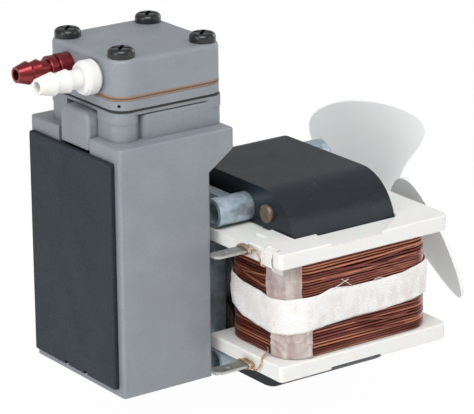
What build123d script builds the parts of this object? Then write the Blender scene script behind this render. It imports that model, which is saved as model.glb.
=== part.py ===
"""Diaphragm vacuum pump with a C-frame shaded-pole motor, as an assembly of separate pieces.

The origin is the centre of the four mounting holes in the underside of the pump housing.
+X runs along the motor shaft from the pump to the fan, +Z points up to the pump head, and
the motor coil hangs on the -Y side of the shaft. Everything is in millimetres.
"""

import math
import os

from build123d import *

# ---------------------------------------------------------------- driving dimensions

# pump housing
housing_depth = 32.0
housing_width = 48.6
housing_height = 77.0
housing_wall = 2.8
rear_wall = 3.0
floor_thickness = 6.0
deck_thickness = 6.0
deck_overhang = 8.7
deck_slope_height = 6.0
housing_corner_radius = 1.0
housing_edge_radius = 0.6
notch_width = 16.8
notch_depth = 6.0
mount_spacing_x = 20.0
mount_spacing_y = 34.0
mount_hole_radius = 1.65

# front cover
cover_thickness = 1.5
cover_margin = 2.0
cover_offset = 0.8
cover_bottom = 2.2
cover_top = 72.5
cover_corner_radius = 0.8
cover_lip_height = 1.2
cover_lip_width = 1.4
cover_notch_width = 2.2
cover_notch_depth = 1.3
cover_notch_spacing = 10.6
cover_peg_radius = 1.2
cover_peg_length = 5.0
cover_peg_wall = 1.6
cover_peg_drop = 11.0

# pump head stack
head_x = 6.25
head_size = 38.6
head_corner_radius = 5.5
base_height = 9.1
diaphragm_thickness = 0.5
valve_plate_thickness = 3.1
valve_sheet_thickness = 0.6
head_gasket_thickness = 0.8
head_height = 10.9
head_edge_radius = 1.5
head_screw_inset = 4.9
head_bore_margin = 6.8
base_front_width = 15.4
base_front_drop = 3.8
base_front_proud = 2.9
base_tongue = 3.4
base_arch_radius = 4.5
base_inset = 2.6
base_rim_thickness = 1.2
base_side_inset = 0.3
base_side_front = 10.2
base_side_back = 17.6
base_wall_gap = 0.5
base_wall_depth = 3.0
base_lobe_size = 8.6
base_lobe_radius = 4.0
base_lobe_inset = 0.3
base_step_height = 3.6
base_step_proud = 0.35
base_edge_radius = 2.4
base_rim_inset = 0.2
base_rim_edge = 0.4
base_top_inset = 0.2
base_pad_edge = 0.8
base_nose_edge = 1.2

# valves and the chambers over them
flap_length = 12.0
flap_width = 7.0
flap_corner = 2.4
flap_thickness = 0.5
flap_y = 5.6
flap_recess = 2.0
flap_end_room = 1.2
flap_side_room = 0.5
flap_pin_radius = 0.8
flap_seat_gap = 0.08
flap_foot_gap = 0.15
flap_foot_length = 1.4
valve_port_radius = 1.2
valve_port_spacing = 3.5
valve_port_shift = 1.5
witness_hole_radius = 0.5
witness_hole_depth = 2.0
chamber_wall = 8.3
chamber_side_wall = 7.1
chamber_rib = 2.4
chamber_height = 7.4

# head screws
screw_radius = 2.0
screw_thread_radius = 1.65
screw_head_radius = 4.0
screw_head_height = 2.7
screw_edge_share = 0.52
screw_recess_length = 5.6
screw_recess_width = 1.1
screw_recess_depth = 1.5
screw_length = 34.0
screw_play = 0.12

# hose fittings
port_height = 4.4
vacuum_port_y = 7.0
pressure_port_y = -7.6
port_thread_radius = 2.6
port_thread_length = 5.0
port_bore_radius = 1.6
barb_radius = 2.9
barb_ridge_radius = 3.55
vacuum_base_radius = 4.1
vacuum_base_length = 4.4
vacuum_collar_radius = 3.9
vacuum_collar_length = 3.0
vacuum_barb_length = 10.6
pressure_knob_radius = 5.2
pressure_knob_length = 5.4
pressure_barb_length = 14.4

# crank and rod
shaft_height = 25.95
shaft_radius = 3.0
crank_throw = 2.0
journal_radius = 6.0
journal_length = 5.0
counterweight_radius = 13.0
counterweight_thickness = 5.0
weight_gap = 0.4
rod_bearing_outer_radius = 10.5
rod_bearing_race = 1.6
rod_ball_radius = 1.1
rod_ball_count = 12
rod_thickness = 4.6
rod_rim = 2.6
rod_shank_width = 9.0
rod_web = 1.8
rod_shank_edge = 1.6
rod_pocket_start = 3.0
rod_pocket_end = 10.0
rod_seat_radius = 5.6
rod_seat_height = 4.0
clamp_screw_length = 9.0
diaphragm_roll_room = 3.1
clamp_disc_thickness = 1.4
running_clearance = 0.03
piston_gap = 0.4

# front bracket and its bearing
bracket_thickness = 4.2
bracket_gap = 3.0
bracket_hub_radius = 12.4
bracket_spigot_radius = 11.0
bracket_upright_width = 5.0
bracket_bar_width = 6.6
bracket_pillar_radius = 3.6
post_radius = 4.5
post_length = 12.5
post_near_y = -19.25
post_far_y = 11.5
post_offset_z = 23.75
floor_screw_clearance = 1.55
small_screw_radius = 1.5
small_screw_grip = 8.0
small_screw_head_radius = 2.9
small_screw_head_height = 2.0
ball_bearing_outer_radius = 9.5
ball_bearing_width = 6.0
ball_bearing_race = 1.9
front_ball_radius = 1.6
front_ball_count = 8
bearing_shoulder = 2.0
bearing_lip = 2.0
post_web = 5.0
bearing_clip_width = 1.0
bearing_clip_thickness = 1.8

# motor stack
stack_start = 32.5
stack_length = 38.0
stack_half_height = 31.55
arm_thickness = 12.3
core_width = 16.2
coil_side_y = -43.9
rotor_side_y = 19.0
stack_corner_radius = 16.2
rotor_corner_radius = 9.0
rotor_radius = 12.5
air_gap = 0.4
pole_edge_y = -16.4
rivet_radius = 2.9
rivet_hole_radius = 1.9
rivet_y = -30.5
rivet_height = 24.2
shading_bar = 2.2

# coil
bobbin_length = 64.0
bobbin_depth = 37.0
flange_thickness = 4.0
bobbin_tube_wall = 1.0
bobbin_rim_height = 0.9
rim_back_y = -33.0
rim_start_x = 5.5
rim_lead_in = 2.2
rim_step_width = 6.0
rim_slant = 15.0
arm_clearance = 0.3
bobbin_corner_radius = 1.4
bobbin_end_radius = 3.2
core_clearance = 0.15
winding_thickness = 7.8
winding_corner_radius = 9.0
cloth_tape_height = 10.5
cloth_tape_thickness = 0.5
corner_tape_width = 13.0
corner_tape_thickness = 0.25
tab_width = 4.8
tab_thickness = 0.8
tab_reach = 13.2
tab_y = -38.5
tab_cover = 0.5
tab_hole_radius = 0.8
tab_hole_place = 5.2
tab_depth_in_flange = 6.0
lead_radius = 0.3
lead_wrap_x = 1.4
lead_drop = 1.6
solder_length = 2.4
solder_half_height = 1.1
solder_side = 0.7

# rear bracket
rear_arm_width = 8.0
rear_bracket_thickness = 3.5
rear_post_length = 6.5
rear_post_offset_y = 6.2
rear_post_offset_z = 25.2
rear_post_radius = 4.6
rear_hub_radius = 8.5
rear_hub_length = 11.0
rear_bush_radius = 5.0
rear_bush_shoulder = 1.5
oil_felt_room = 2.0
oil_felt_play = 0.2
oil_felt_thickness = 1.4

# fan
fan_x = 104.0
fan_radius = 42.5
fan_blade_count = 4
fan_blade_thickness = 1.2
fan_blade_pitch = 25.0
fan_first_blade_angle = 25.0
fan_hub_radius = 6.8
fan_hub_length = 12.0

# edge of a blade as shares of the fan's radius: across the chord, and outward from the shaft
fan_blade_form = [
    (-0.12, 0.0),
    (-0.386, 0.062),
    (-0.581, 0.139),
    (-0.76, 0.248),
    (-0.865, 0.432),
    (-0.768, 0.639),
    (-0.605, 0.782),
    (-0.418, 0.885),
    (-0.22, 0.949),
    (-0.009, 0.93),
    (0.02, 0.734),
    (-0.033, 0.517),
    (-0.023, 0.293),
    (0.003, 0.0),
]

# ---------------------------------------------------------------- derived places

front_x = -housing_depth / 2
rear_x = housing_depth / 2
half_width = housing_width / 2
cover_width = housing_width - 2 * cover_margin
cavity_top = housing_height - deck_thickness
base_bottom_z = housing_height
base_top_z = base_bottom_z + base_height
plate_bottom_z = base_top_z + diaphragm_thickness
plate_top_z = plate_bottom_z + valve_plate_thickness
sheet_top_z = plate_top_z + valve_sheet_thickness
head_bottom_z = sheet_top_z + head_gasket_thickness
head_top_z = head_bottom_z + head_height
port_z = head_bottom_z + port_height
head_face_x = head_x - head_size / 2
head_screw_pitch = head_size - 2 * head_screw_inset
bore_radius = head_size / 2 - head_bore_margin
clamp_disc_radius = bore_radius - diaphragm_roll_room
chamber_length = head_size - 2 * chamber_wall
chamber_width = (head_size - 2 * chamber_side_wall - chamber_rib) / 2
stack_end = stack_start + stack_length
stack_middle = stack_start + stack_length / 2
core_middle_y = coil_side_y + core_width / 2
window_half_height = stack_half_height - arm_thickness
flange_outer = window_half_height - 0.2
flange_inner = flange_outer - flange_thickness
bobbin_start = stack_middle - bobbin_length / 2
bobbin_edge_y = core_middle_y - bobbin_depth / 2
bracket_plate_end = stack_start - bracket_gap
bracket_plate_start = bracket_plate_end - bracket_thickness
bracket_screw_offset = shaft_height - floor_thickness - small_screw_head_radius - floor_screw_clearance
tube_length = stack_length + 2 * core_clearance + 2 * bobbin_tube_wall
tube_depth = core_width + 2 * core_clearance + 2 * bobbin_tube_wall
tab_half = tab_thickness / 2
crank_z = shaft_height - crank_throw
rod_x = head_x
rod_ball_pitch = (journal_radius + rod_bearing_outer_radius) / 2
front_ball_pitch = (shaft_radius + ball_bearing_outer_radius) / 2


# ---------------------------------------------------------------- small helpers

def block(x0, x1, y0, y1, z0, z1):
    """A box between two corners."""
    middle = ((x0 + x1) / 2, (y0 + y1) / 2, (z0 + z1) / 2)
    return Pos(*middle) * Box(abs(x1 - x0), abs(y1 - y0), abs(z1 - z0))


def rod_along_x(x0, x1, radius, y=0.0, z=0.0):
    """A cylinder along X."""
    return Pos((x0 + x1) / 2, y, z) * Rot(0, 90, 0) * Cylinder(radius, abs(x1 - x0))


def rod_along_z(z0, z1, radius, x=0.0, y=0.0):
    """A cylinder along Z."""
    return Pos(x, y, (z0 + z1) / 2) * Cylinder(radius, abs(z1 - z0))


def ring_along_x(x0, x1, outer, inner, y=0.0, z=0.0):
    """A plain ring whose axis is along X."""
    return rod_along_x(x0, x1, outer, y, z) - rod_along_x(x0 - 1, x1 + 1, inner, y, z)


def slab(size_x, size_y, corner, z0, z1, x=0.0, y=0.0):
    """A plate with rounded vertical corners."""
    outline = RectangleRounded(size_x, size_y, corner)
    return Pos(x, y, z0) * extrude(outline, amount=z1 - z0)


def along_x(outline, x0, x1):
    """Extrude an outline drawn in the YZ plane from x0 to x1."""
    plane = Plane(origin=(x0, 0, 0), x_dir=(0, 1, 0), z_dir=(1, 0, 0))
    return extrude(plane * outline, amount=x1 - x0)


def turned_along_x(points, y=0.0, z=0.0):
    """Turn a closed profile of (x, radius) points about an axis along X."""
    profile = make_face(Polyline([(x, r) for x, r in points], close=True))
    return Pos(0, y, z) * revolve(profile, Axis.X, 360)


def head_screw_places():
    """The four corners where the head screws stand."""
    half = head_screw_pitch / 2
    return [(head_x + sx * half, sy * half) for sx in (-1, 1) for sy in (-1, 1)]


def head_screw_holes(z0, z1):
    """Clearance holes for the head screws between two heights."""
    radius = screw_radius + screw_play
    holes = Part()
    for x, y in head_screw_places():
        holes += rod_along_z(z0 - 1, z1 + 1, radius, x, y)
    return holes


def group(solids):
    """Several separate solids kept as one node."""
    return Compound(children=list(solids))


def save(name, shape):
    """Write one node."""
    export_step(shape, "parts/" + name + ".step")


# ---------------------------------------------------------------- housing and cover

def housing():
    """Die-cast box, open at the front, with an overhanging top deck."""
    side = Polyline(
        (front_x, 0),
        (rear_x, 0),
        (rear_x, cavity_top - deck_slope_height),
        (rear_x + deck_overhang, cavity_top),
        (rear_x + deck_overhang, housing_height),
        (front_x, housing_height),
        close=True,
    )
    plane = Plane(origin=(0, half_width, 0), x_dir=(1, 0, 0), z_dir=(0, -1, 0))
    body = extrude(plane * make_face(side), amount=housing_width)
    body = fillet(body.edges().filter_by(Axis.Z), housing_corner_radius)
    body = fillet(body.edges().group_by(Axis.Z)[-1], housing_edge_radius)
    inner_half = half_width - housing_wall
    inner_x = rear_x - rear_wall
    body -= block(front_x - 1, inner_x, -inner_half, inner_half, floor_thickness, cavity_top)
    for y, z in cover_peg_places():
        body += rod_along_x(front_x, front_x + cover_peg_length + 2, cover_peg_radius + cover_peg_wall, y, z)
    for x, y in head_screw_places():
        body += rod_along_z(screw_boss_bottom(), cavity_top + 1, screw_thread_radius + 2.4, x, y)
    body -= rod_along_z(cavity_top - 1, housing_height + 1, bore_radius, head_x)
    half_notch = notch_width / 2
    notch_end = front_x + notch_depth
    body -= block(front_x - 1, notch_end, -half_notch, half_notch, cavity_top - 1, housing_height + 1)
    for x, y in head_screw_places():
        body -= rod_along_z(head_top_z - screw_length - 0.3, housing_height + 1, screw_thread_radius, x, y)
    for y, z in cover_peg_places():
        body -= rod_along_x(front_x - 1, front_x + cover_peg_length + 0.5, cover_peg_radius, y, z)
    body -= rod_along_x(inner_x - 1, rear_x + 1, bracket_spigot_radius + running_clearance, 0, shaft_height)
    for side_sign in (-1, 1):
        z = shaft_height + side_sign * bracket_screw_offset
        body -= rod_along_x(inner_x - 1, rear_x + 1, small_screw_radius + screw_play, 0, z)
    for sx in (-1, 1):
        for sy in (-1, 1):
            x = sx * mount_spacing_x / 2
            y = sy * mount_spacing_y / 2
            body -= rod_along_z(-1, floor_thickness + 1, mount_hole_radius, x, y)
    return body


def screw_boss_bottom():
    """Underside of the bosses that take the head screws."""
    return head_top_z - screw_length - 1.5


def cover_peg_places():
    """Corners (y, z) where the cover's pegs press into the housing."""
    y = half_width - housing_wall - cover_peg_wall
    z_low = floor_thickness + cover_peg_wall
    z_high = cavity_top - cover_peg_drop
    return [(sy * y, z) for sy in (-1, 1) for z in (z_low, z_high)]


def front_cover():
    """Moulded plate that closes the crankcase, pressed in on four pegs."""
    height = cover_top - cover_bottom
    outline = RectangleRounded(cover_width, height, cover_corner_radius)
    outline = Pos(cover_offset, (cover_top + cover_bottom) / 2) * outline
    body = along_x(outline, front_x - cover_thickness, front_x)
    body = chamfer(body.faces().sort_by(Axis.X)[0].edges(), 0.3)
    for side_sign in (-1, 1):
        y = side_sign * cover_notch_spacing / 2
        body -= block(
            front_x - cover_thickness - 1,
            front_x + 1,
            y - cover_notch_width / 2,
            y + cover_notch_width / 2,
            cover_bottom - 1,
            cover_bottom + cover_notch_depth,
        )
    for y, z in cover_peg_places():
        body += rod_along_x(front_x - 0.2, front_x + cover_peg_length, cover_peg_radius, y, z)
    inner_half = half_width - housing_wall - 0.1
    low = floor_thickness + 0.1
    high = cavity_top - 1.2
    lip = block(front_x - 0.2, front_x + cover_lip_height, -inner_half, inner_half, low, high)
    lip -= block(
        front_x - 1,
        front_x + cover_lip_height + 1,
        -inner_half + cover_lip_width,
        inner_half - cover_lip_width,
        low + cover_lip_width,
        high - cover_lip_width,
    )
    for y, z in cover_peg_places():
        lip -= rod_along_x(front_x - 1, front_x + cover_lip_height + 1, cover_peg_radius + 1.8, y, z)
    return body + lip


# ---------------------------------------------------------------- pump head

def corner_lobes(size, z0, z1):
    """Rounded square bosses round the four head screws."""
    offset = head_size / 2 - base_lobe_inset - base_lobe_size / 2
    lobes = Part()
    for sx in (-1, 1):
        for sy in (-1, 1):
            lobes += slab(size, size, base_lobe_radius, z0, z1, head_x + sx * offset, sy * offset)
    return lobes


def base_nose(z0, z1):
    """Arched boss on the front that reaches down into the housing's notch."""
    front = head_face_x - base_front_proud
    half = base_front_width / 2
    spring = z1 - base_arch_radius - base_rim_thickness
    low = z0 - base_front_drop
    crown = spring + base_arch_radius
    turn_y = half - base_arch_radius
    arch = make_face(
        Line((-half, low), (half, low))
        + Line((half, low), (half, spring))
        + CenterArc((turn_y, spring), base_arch_radius, 0, 90)
        + Line((turn_y, crown), (-turn_y, crown))
        + CenterArc((-turn_y, spring), base_arch_radius, 90, 90)
        + Line((-half, spring), (-half, low))
    )
    nose = along_x(arch, front, head_face_x + 6)
    nose = fillet(nose.edges().filter_by(Axis.Z).group_by(Axis.X)[0], base_nose_edge)
    return nose - block(front + base_tongue, head_x, -half - 1, half + 1, z0 - 10, z0)


def base_front_walls(proud, z0, z1):
    """Walls on the front, from the nose to the lobe on each side."""
    x0 = head_face_x + base_lobe_inset - proud / 2
    near = base_front_width / 2 + base_wall_gap
    far = head_size / 2 - base_lobe_inset - base_lobe_radius
    walls = Part()
    for sign in (-1, 1):
        walls += block(x0, x0 + base_wall_depth, sign * near, sign * far, z0, z1)
    return walls


def diaphragm_base():
    """Casting between the housing deck and the diaphragm, with corner lobes and side pads."""
    z0 = base_bottom_z
    z1 = base_top_z
    rim_z = z1 - base_rim_thickness
    core = head_size - 2 * base_inset
    body = slab(core, core, head_corner_radius, z0, z1, head_x)
    rim_size = head_size - 2 * base_rim_inset
    rim = slab(rim_size, rim_size, head_corner_radius, rim_z, z1, head_x)
    body += fillet(rim.edges().group_by(Axis.Z)[0], base_rim_edge)
    lobe_top = z1 - base_top_inset
    step_z = z1 - base_step_height
    body += corner_lobes(base_lobe_size, z0, lobe_top)
    body += corner_lobes(base_lobe_size + base_step_proud, step_z, lobe_top)
    body += base_front_walls(0, z0, lobe_top)
    body += base_front_walls(base_step_proud, step_z, lobe_top)
    pad_y = head_size / 2 - base_side_inset - base_edge_radius
    pad_width = 2 * base_edge_radius
    pad_length = base_side_front + base_side_back
    pad_x = head_x + (base_side_back - base_side_front) / 2
    for y in (-pad_y, pad_y):
        pad = slab(pad_length, pad_width, base_edge_radius - 0.1, z0, rim_z - base_top_inset, pad_x, y)
        body += fillet(pad.edges().group_by(Axis.Z)[-1], base_pad_edge)
    body += base_nose(z0, z1)
    body -= rod_along_z(z0 - 10, z1 + 1, bore_radius, head_x)
    return body - head_screw_holes(z0, z1)


def diaphragm():
    """Moulded rubber sheet with one rolled convolution, clamped at its rim."""
    rim = slab(head_size, head_size, head_corner_radius, base_top_z, plate_bottom_z, head_x)
    rim -= rod_along_z(base_top_z - 1, plate_bottom_z + 1, bore_radius - 0.4, head_x)
    rim -= head_screw_holes(base_top_z, plate_bottom_z)
    t = diaphragm_thickness
    z_centre = diaphragm_centre_z()
    roll = clamp_disc_radius + 0.7
    outer = bore_radius
    profile = Polyline(
        (clamp_screw_radius() + 0.1, z_centre),
        (roll, z_centre),
        (roll + 0.8, z_centre - 0.9),
        (roll + 1.4, z_centre + 0.6),
        (outer, base_top_z),
        (outer, base_top_z + t),
        (outer - 0.9, base_top_z + t),
        (roll + 1.0, z_centre + 0.9 + t),
        (roll + 0.5, z_centre - 0.1),
        (roll - 0.2, z_centre + t),
        (clamp_screw_radius() + 0.1, z_centre + t),
        close=True,
    )
    web = revolve(Plane.XZ * make_face(profile), Axis.Z, 360)
    return rim + Pos(head_x, 0, 0) * web


def diaphragm_centre_z():
    """Underside of the diaphragm's middle with the crank at its lowest."""
    return plate_bottom_z - piston_gap - 2 * crank_throw - clamp_disc_thickness - diaphragm_thickness


def clamp_screw_radius():
    """Radius of the screw that holds the diaphragm on the rod."""
    return small_screw_radius


def valve_plate():
    """Plate between diaphragm and head, with the ports and seats of both valves."""
    body = slab(head_size, head_size, head_corner_radius, plate_bottom_z, plate_top_z, head_x)
    body = chamfer(body.edges().group_by(Axis.Z)[0] + body.edges().group_by(Axis.Z)[-1], 0.25)
    body -= head_screw_holes(plate_bottom_z, plate_top_z)
    body -= block(
        head_x - flap_length / 2 - flap_end_room,
        head_x + flap_length / 2 + flap_end_room,
        flap_y - flap_width / 2 - flap_side_room,
        flap_y + flap_width / 2 + flap_side_room,
        plate_bottom_z - 1,
        plate_bottom_z + flap_recess,
    )
    for sign in (-1, 1):
        for step in (-1, 1):
            x = head_x + valve_port_shift + step * valve_port_spacing / 2
            body -= rod_along_z(plate_bottom_z - 1, plate_top_z + 1, valve_port_radius, x, sign * flap_y)
        pin_x = flap_root_x()
        body -= rod_along_z(plate_bottom_z - 1, plate_top_z + 1, flap_pin_radius, pin_x, sign * flap_y)
    corner = head_size / 2 - head_corner_radius * (1 - math.sqrt(0.5))
    drill = Pos(head_x - corner, -corner, (plate_bottom_z + plate_top_z) / 2) * Rot(0, 0, 45) * Rot(0, 90, 0)
    body -= drill * Cylinder(witness_hole_radius, 2 * witness_hole_depth)
    return body


def flap_root_x():
    """Axis of the pins that hold the flaps."""
    return head_x - flap_length / 2 + 1.3


def flap_tongue(y, z):
    """A tongue of flexible sheet, pinned at its -X end and free at the other."""
    root = flap_root_x() - flap_foot_length / 2
    tip = head_x + flap_length / 2
    width = flap_width - 2 * flap_corner
    body = block(root, tip - flap_corner, y - flap_width / 2, y + flap_width / 2, z, z + flap_thickness)
    body += slab(2 * flap_corner, flap_width, flap_corner - 0.01, z, z + flap_thickness, tip - flap_corner, y)
    body += block(tip - 1, tip, y - width / 2, y + width / 2, z, z + flap_thickness)
    return body - rod_along_z(z - 1, z + 1, flap_pin_radius + 0.2, flap_root_x(), y)


def intake_flap_z():
    """Underside of the intake flap, which rests against the roof of its recess."""
    return plate_bottom_z + flap_recess - flap_seat_gap - flap_thickness


def exhaust_flap_z():
    """Underside of the exhaust flap, which rests on the valve plate."""
    return plate_top_z + flap_seat_gap


def intake_flap():
    """Moving tongue under the plate, over the intake ports."""
    return flap_tongue(flap_y, intake_flap_z())


def exhaust_flap():
    """Moving tongue on top of the plate, over the exhaust ports."""
    return flap_tongue(-flap_y, exhaust_flap_z())


def flap_keepers():
    """Headed pins whose foot holds the root of each flap to the plate."""
    x = flap_root_x()
    foot_width = flap_width - 1
    foot = 0.8
    low_top = intake_flap_z() - flap_foot_gap
    low = rod_along_z(low_top - foot, plate_top_z, flap_pin_radius, x, flap_y)
    low += slab(flap_foot_length, foot_width, 0.5, low_top - foot, low_top, x, flap_y)
    high_bottom = exhaust_flap_z() + flap_thickness + flap_foot_gap
    high = rod_along_z(plate_bottom_z + 0.4, high_bottom + foot, flap_pin_radius, x, -flap_y)
    high += slab(flap_foot_length, foot_width, 0.5, high_bottom, high_bottom + foot, x, -flap_y)
    return group([low, high])


def chamber(sign, z0, z1, grow=0.0):
    """One half of the space over the valve plate: intake at +Y, exhaust at -Y."""
    return slab(
        chamber_length + 2 * grow,
        chamber_width + 2 * grow,
        2.5,
        z0,
        z1,
        head_x,
        sign * (chamber_rib / 2 + chamber_width / 2),
    )


def valve_sheet():
    """Fibre sheet on the valve plate, open over both valves."""
    body = slab(head_size, head_size, head_corner_radius, plate_top_z, sheet_top_z, head_x)
    for sign in (-1, 1):
        body -= chamber(sign, plate_top_z - 1, sheet_top_z + 1)
    return body - head_screw_holes(plate_top_z, sheet_top_z)


def head_gasket():
    """Second fibre sheet, against the head."""
    body = slab(head_size, head_size, head_corner_radius, sheet_top_z, head_bottom_z, head_x)
    for sign in (-1, 1):
        body -= chamber(sign, sheet_top_z - 1, head_bottom_z + 1)
    return body - head_screw_holes(sheet_top_z, head_bottom_z)


def head_cover():
    """Cast head with an intake and an exhaust chamber and two side ports."""
    body = slab(head_size, head_size, head_corner_radius, head_bottom_z, head_top_z, head_x)
    body = fillet(body.edges().group_by(Axis.Z)[-1], head_edge_radius)
    for sign in (-1, 1):
        body -= chamber(sign, head_bottom_z - 1, head_bottom_z + chamber_height)
    for y in (vacuum_port_y, pressure_port_y):
        body -= rod_along_x(head_face_x - 1, head_x - chamber_length / 2 + 1, port_thread_radius, y, port_z)
    return body - head_screw_holes(head_bottom_z, head_top_z)


def pan_screw(x, y, z, shank):
    """A cross-recess pan-head screw pointing down, seated at height z."""
    head = Pos(x, y, z) * extrude(Circle(screw_head_radius), amount=screw_head_height)
    head = fillet(head.edges().group_by(Axis.Z)[-1], screw_head_height * screw_edge_share)
    for angle in (45, 135):
        slot = Rot(0, 0, angle) * Box(screw_recess_length, screw_recess_width, 2 * screw_recess_depth)
        head -= Pos(x, y, z + screw_head_height) * slot
    body = head + rod_along_z(housing_height, z + 0.1, screw_radius, x, y)
    return body + rod_along_z(z - shank, housing_height + 0.1, screw_thread_radius, x, y)


def head_screws():
    """The four long screws that clamp the head stack to the housing."""
    return group(pan_screw(x, y, head_top_z, screw_length) for x, y in head_screw_places())


# ---------------------------------------------------------------- hose fittings

def barb_profile(tip_x, root_x):
    """Half outline, from the bore out, of a barb with two ridges between two places."""
    length = root_x - tip_x
    first = tip_x + 0.36 * length
    second = tip_x + 0.70 * length
    return [
        (tip_x, port_bore_radius),
        (tip_x, barb_radius - 0.5),
        (first, barb_ridge_radius),
        (first + 0.3, barb_radius),
        (first + 1.0, barb_radius),
        (second, barb_ridge_radius),
        (second + 0.3, barb_radius),
        (root_x, barb_radius),
    ]


def vacuum_barb():
    """Anodised metal barb with a collar and a plain round base."""
    base_start = head_face_x - vacuum_base_length
    collar_start = base_start - vacuum_collar_length
    tip_x = collar_start - vacuum_barb_length
    neck = 0.7
    points = barb_profile(tip_x, collar_start) + [
        (collar_start, vacuum_collar_radius - 0.3),
        (collar_start + 0.3, vacuum_collar_radius),
        (base_start - neck, vacuum_collar_radius),
        (base_start - neck, barb_radius + 0.2),
        (base_start, barb_radius + 0.2),
        (base_start, vacuum_base_radius - 0.3),
        (base_start + 0.3, vacuum_base_radius),
        (head_face_x, vacuum_base_radius),
        (head_face_x, port_thread_radius),
        (head_face_x + port_thread_length, port_thread_radius),
        (head_face_x + port_thread_length, port_bore_radius),
    ]
    return turned_along_x(points, vacuum_port_y, port_z)


def pressure_barb():
    """Moulded nylon barb with a large round grip against the head."""
    knob_start = head_face_x - pressure_knob_length
    tip_x = knob_start - pressure_barb_length
    round_edge = 1.4
    points = barb_profile(tip_x, knob_start) + [
        (knob_start, pressure_knob_radius - round_edge),
        (knob_start + 0.4, pressure_knob_radius - 0.5),
        (knob_start + round_edge, pressure_knob_radius),
        (head_face_x - 1.0, pressure_knob_radius),
        (head_face_x, pressure_knob_radius - 0.8),
        (head_face_x, port_thread_radius),
        (head_face_x + port_thread_length, port_thread_radius),
        (head_face_x + port_thread_length, port_bore_radius),
    ]
    return turned_along_x(points, pressure_port_y, port_z)


# ---------------------------------------------------------------- crank and rod

def weight_span():
    """Start and end of the counterweight along the shaft."""
    end = rod_x - journal_length / 2 - weight_gap
    return (end - counterweight_thickness, end)


def eccentric():
    """Crank hub with its offset journal and a half-round counterweight."""
    x0, x1 = weight_span()
    journal_end = rod_x + journal_length / 2
    reach = counterweight_radius + 1
    body = rod_along_x(x0, x1, counterweight_radius, 0, shaft_height)
    body -= block(x0 - 1, x1 + 1, -reach, reach, shaft_height - reach, shaft_height - 1.5)
    body += rod_along_x(x0, x1, journal_radius + 0.6, 0, shaft_height)
    body += rod_along_x(x1, x1 + weight_gap, journal_radius + 0.9, 0, crank_z)
    body += rod_along_x(x1, journal_end, journal_radius, 0, crank_z)
    body -= rod_along_x(x0 - 1, journal_end + 1, shaft_radius, 0, shaft_height)
    middle = (x0 + x1) / 2
    return body - rod_along_z(shaft_height, shaft_height + reach, small_screw_radius, middle)


def crank_set_screw():
    """Grub screw that holds the eccentric on the shaft."""
    middle = sum(weight_span()) / 2
    z0 = shaft_height + shaft_radius
    body = rod_along_z(z0, z0 + 6.0, small_screw_radius, middle)
    hexagon = Pos(middle, 0, z0 + 4.4) * extrude(RegularPolygon(0.8, 6), amount=2)
    return body - hexagon


def ball_ring(x_middle, pitch_radius, ball_radius, count, y, z):
    """Bearing balls on their pitch circle, as separate solids."""
    balls = []
    for index in range(count):
        angle = 2 * math.pi * index / count
        place = (x_middle, y + pitch_radius * math.cos(angle), z + pitch_radius * math.sin(angle))
        balls.append(Pos(*place) * Sphere(ball_radius))
    return group(balls)


def race_groove(x_middle, pitch_radius, ball_radius, y, z):
    """The torus that the balls sweep, used to cut the raceways."""
    turned = Pos(x_middle, y, z) * Rot(0, 90, 0)
    return turned * Torus(pitch_radius, ball_radius + running_clearance)


def rod_bearing_inner():
    """Inner ring on the journal."""
    x0 = rod_x - journal_length / 2
    x1 = rod_x + journal_length / 2
    body = ring_along_x(x0, x1, journal_radius + rod_bearing_race, journal_radius, 0, crank_z)
    return body - race_groove(rod_x, rod_ball_pitch, rod_ball_radius, 0, crank_z)


def rod_bearing_outer():
    """Outer ring in the rod's big end."""
    x0 = rod_x - journal_length / 2
    x1 = rod_x + journal_length / 2
    outer = rod_bearing_outer_radius
    body = ring_along_x(x0, x1, outer, outer - rod_bearing_race, 0, crank_z)
    return body - race_groove(rod_x, rod_ball_pitch, rod_ball_radius, 0, crank_z)


def rod_bearing_balls():
    """Balls of the rod bearing."""
    return ball_ring(rod_x, rod_ball_pitch, rod_ball_radius, rod_ball_count, 0, crank_z)


def connecting_rod():
    """Rod with a round big end, an I-section shank and a flat top seat."""
    x0 = rod_x - rod_thickness / 2
    x1 = rod_x + rod_thickness / 2
    top = diaphragm_centre_z() - clamp_disc_thickness
    eye = rod_bearing_outer_radius + rod_rim
    body = rod_along_x(x0, x1, eye, 0, crank_z)
    half = rod_shank_width / 2
    pocket = (rod_thickness - rod_web) / 2
    body += block(x0, x1, -half, half, crank_z + rod_bearing_outer_radius + 0.5, top)
    for sign in (-1, 1):
        pocket_x = rod_x + sign * rod_thickness / 2
        body -= block(
            pocket_x - pocket,
            pocket_x + pocket,
            -half + rod_shank_edge,
            half - rod_shank_edge,
            crank_z + eye + rod_pocket_start,
            top - rod_pocket_end,
        )
    body += rod_along_z(top - rod_seat_height, top, rod_seat_radius, rod_x)
    body -= rod_along_x(x0 - 1, x1 + 1, rod_bearing_outer_radius, 0, crank_z)
    body -= rod_along_z(top - clamp_screw_length, top + 1, clamp_screw_radius(), rod_x)
    return body


def clamp_disc(z):
    """A washer that clamps the diaphragm's middle."""
    body = rod_along_z(z, z + clamp_disc_thickness, clamp_disc_radius, rod_x)
    body = fillet(body.edges(), 0.4)
    return body - rod_along_z(z - 1, z + 3, clamp_screw_radius(), rod_x)


def lower_clamp_disc():
    """Disc under the diaphragm."""
    return clamp_disc(diaphragm_centre_z() - clamp_disc_thickness)


def upper_clamp_disc():
    """Disc over the diaphragm, countersunk for its screw."""
    z = diaphragm_centre_z() + diaphragm_thickness
    body = clamp_disc(z)
    sink = Cone(clamp_screw_radius(), small_screw_head_radius, clamp_disc_thickness)
    return body - Pos(rod_x, 0, z + clamp_disc_thickness / 2) * sink


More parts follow.
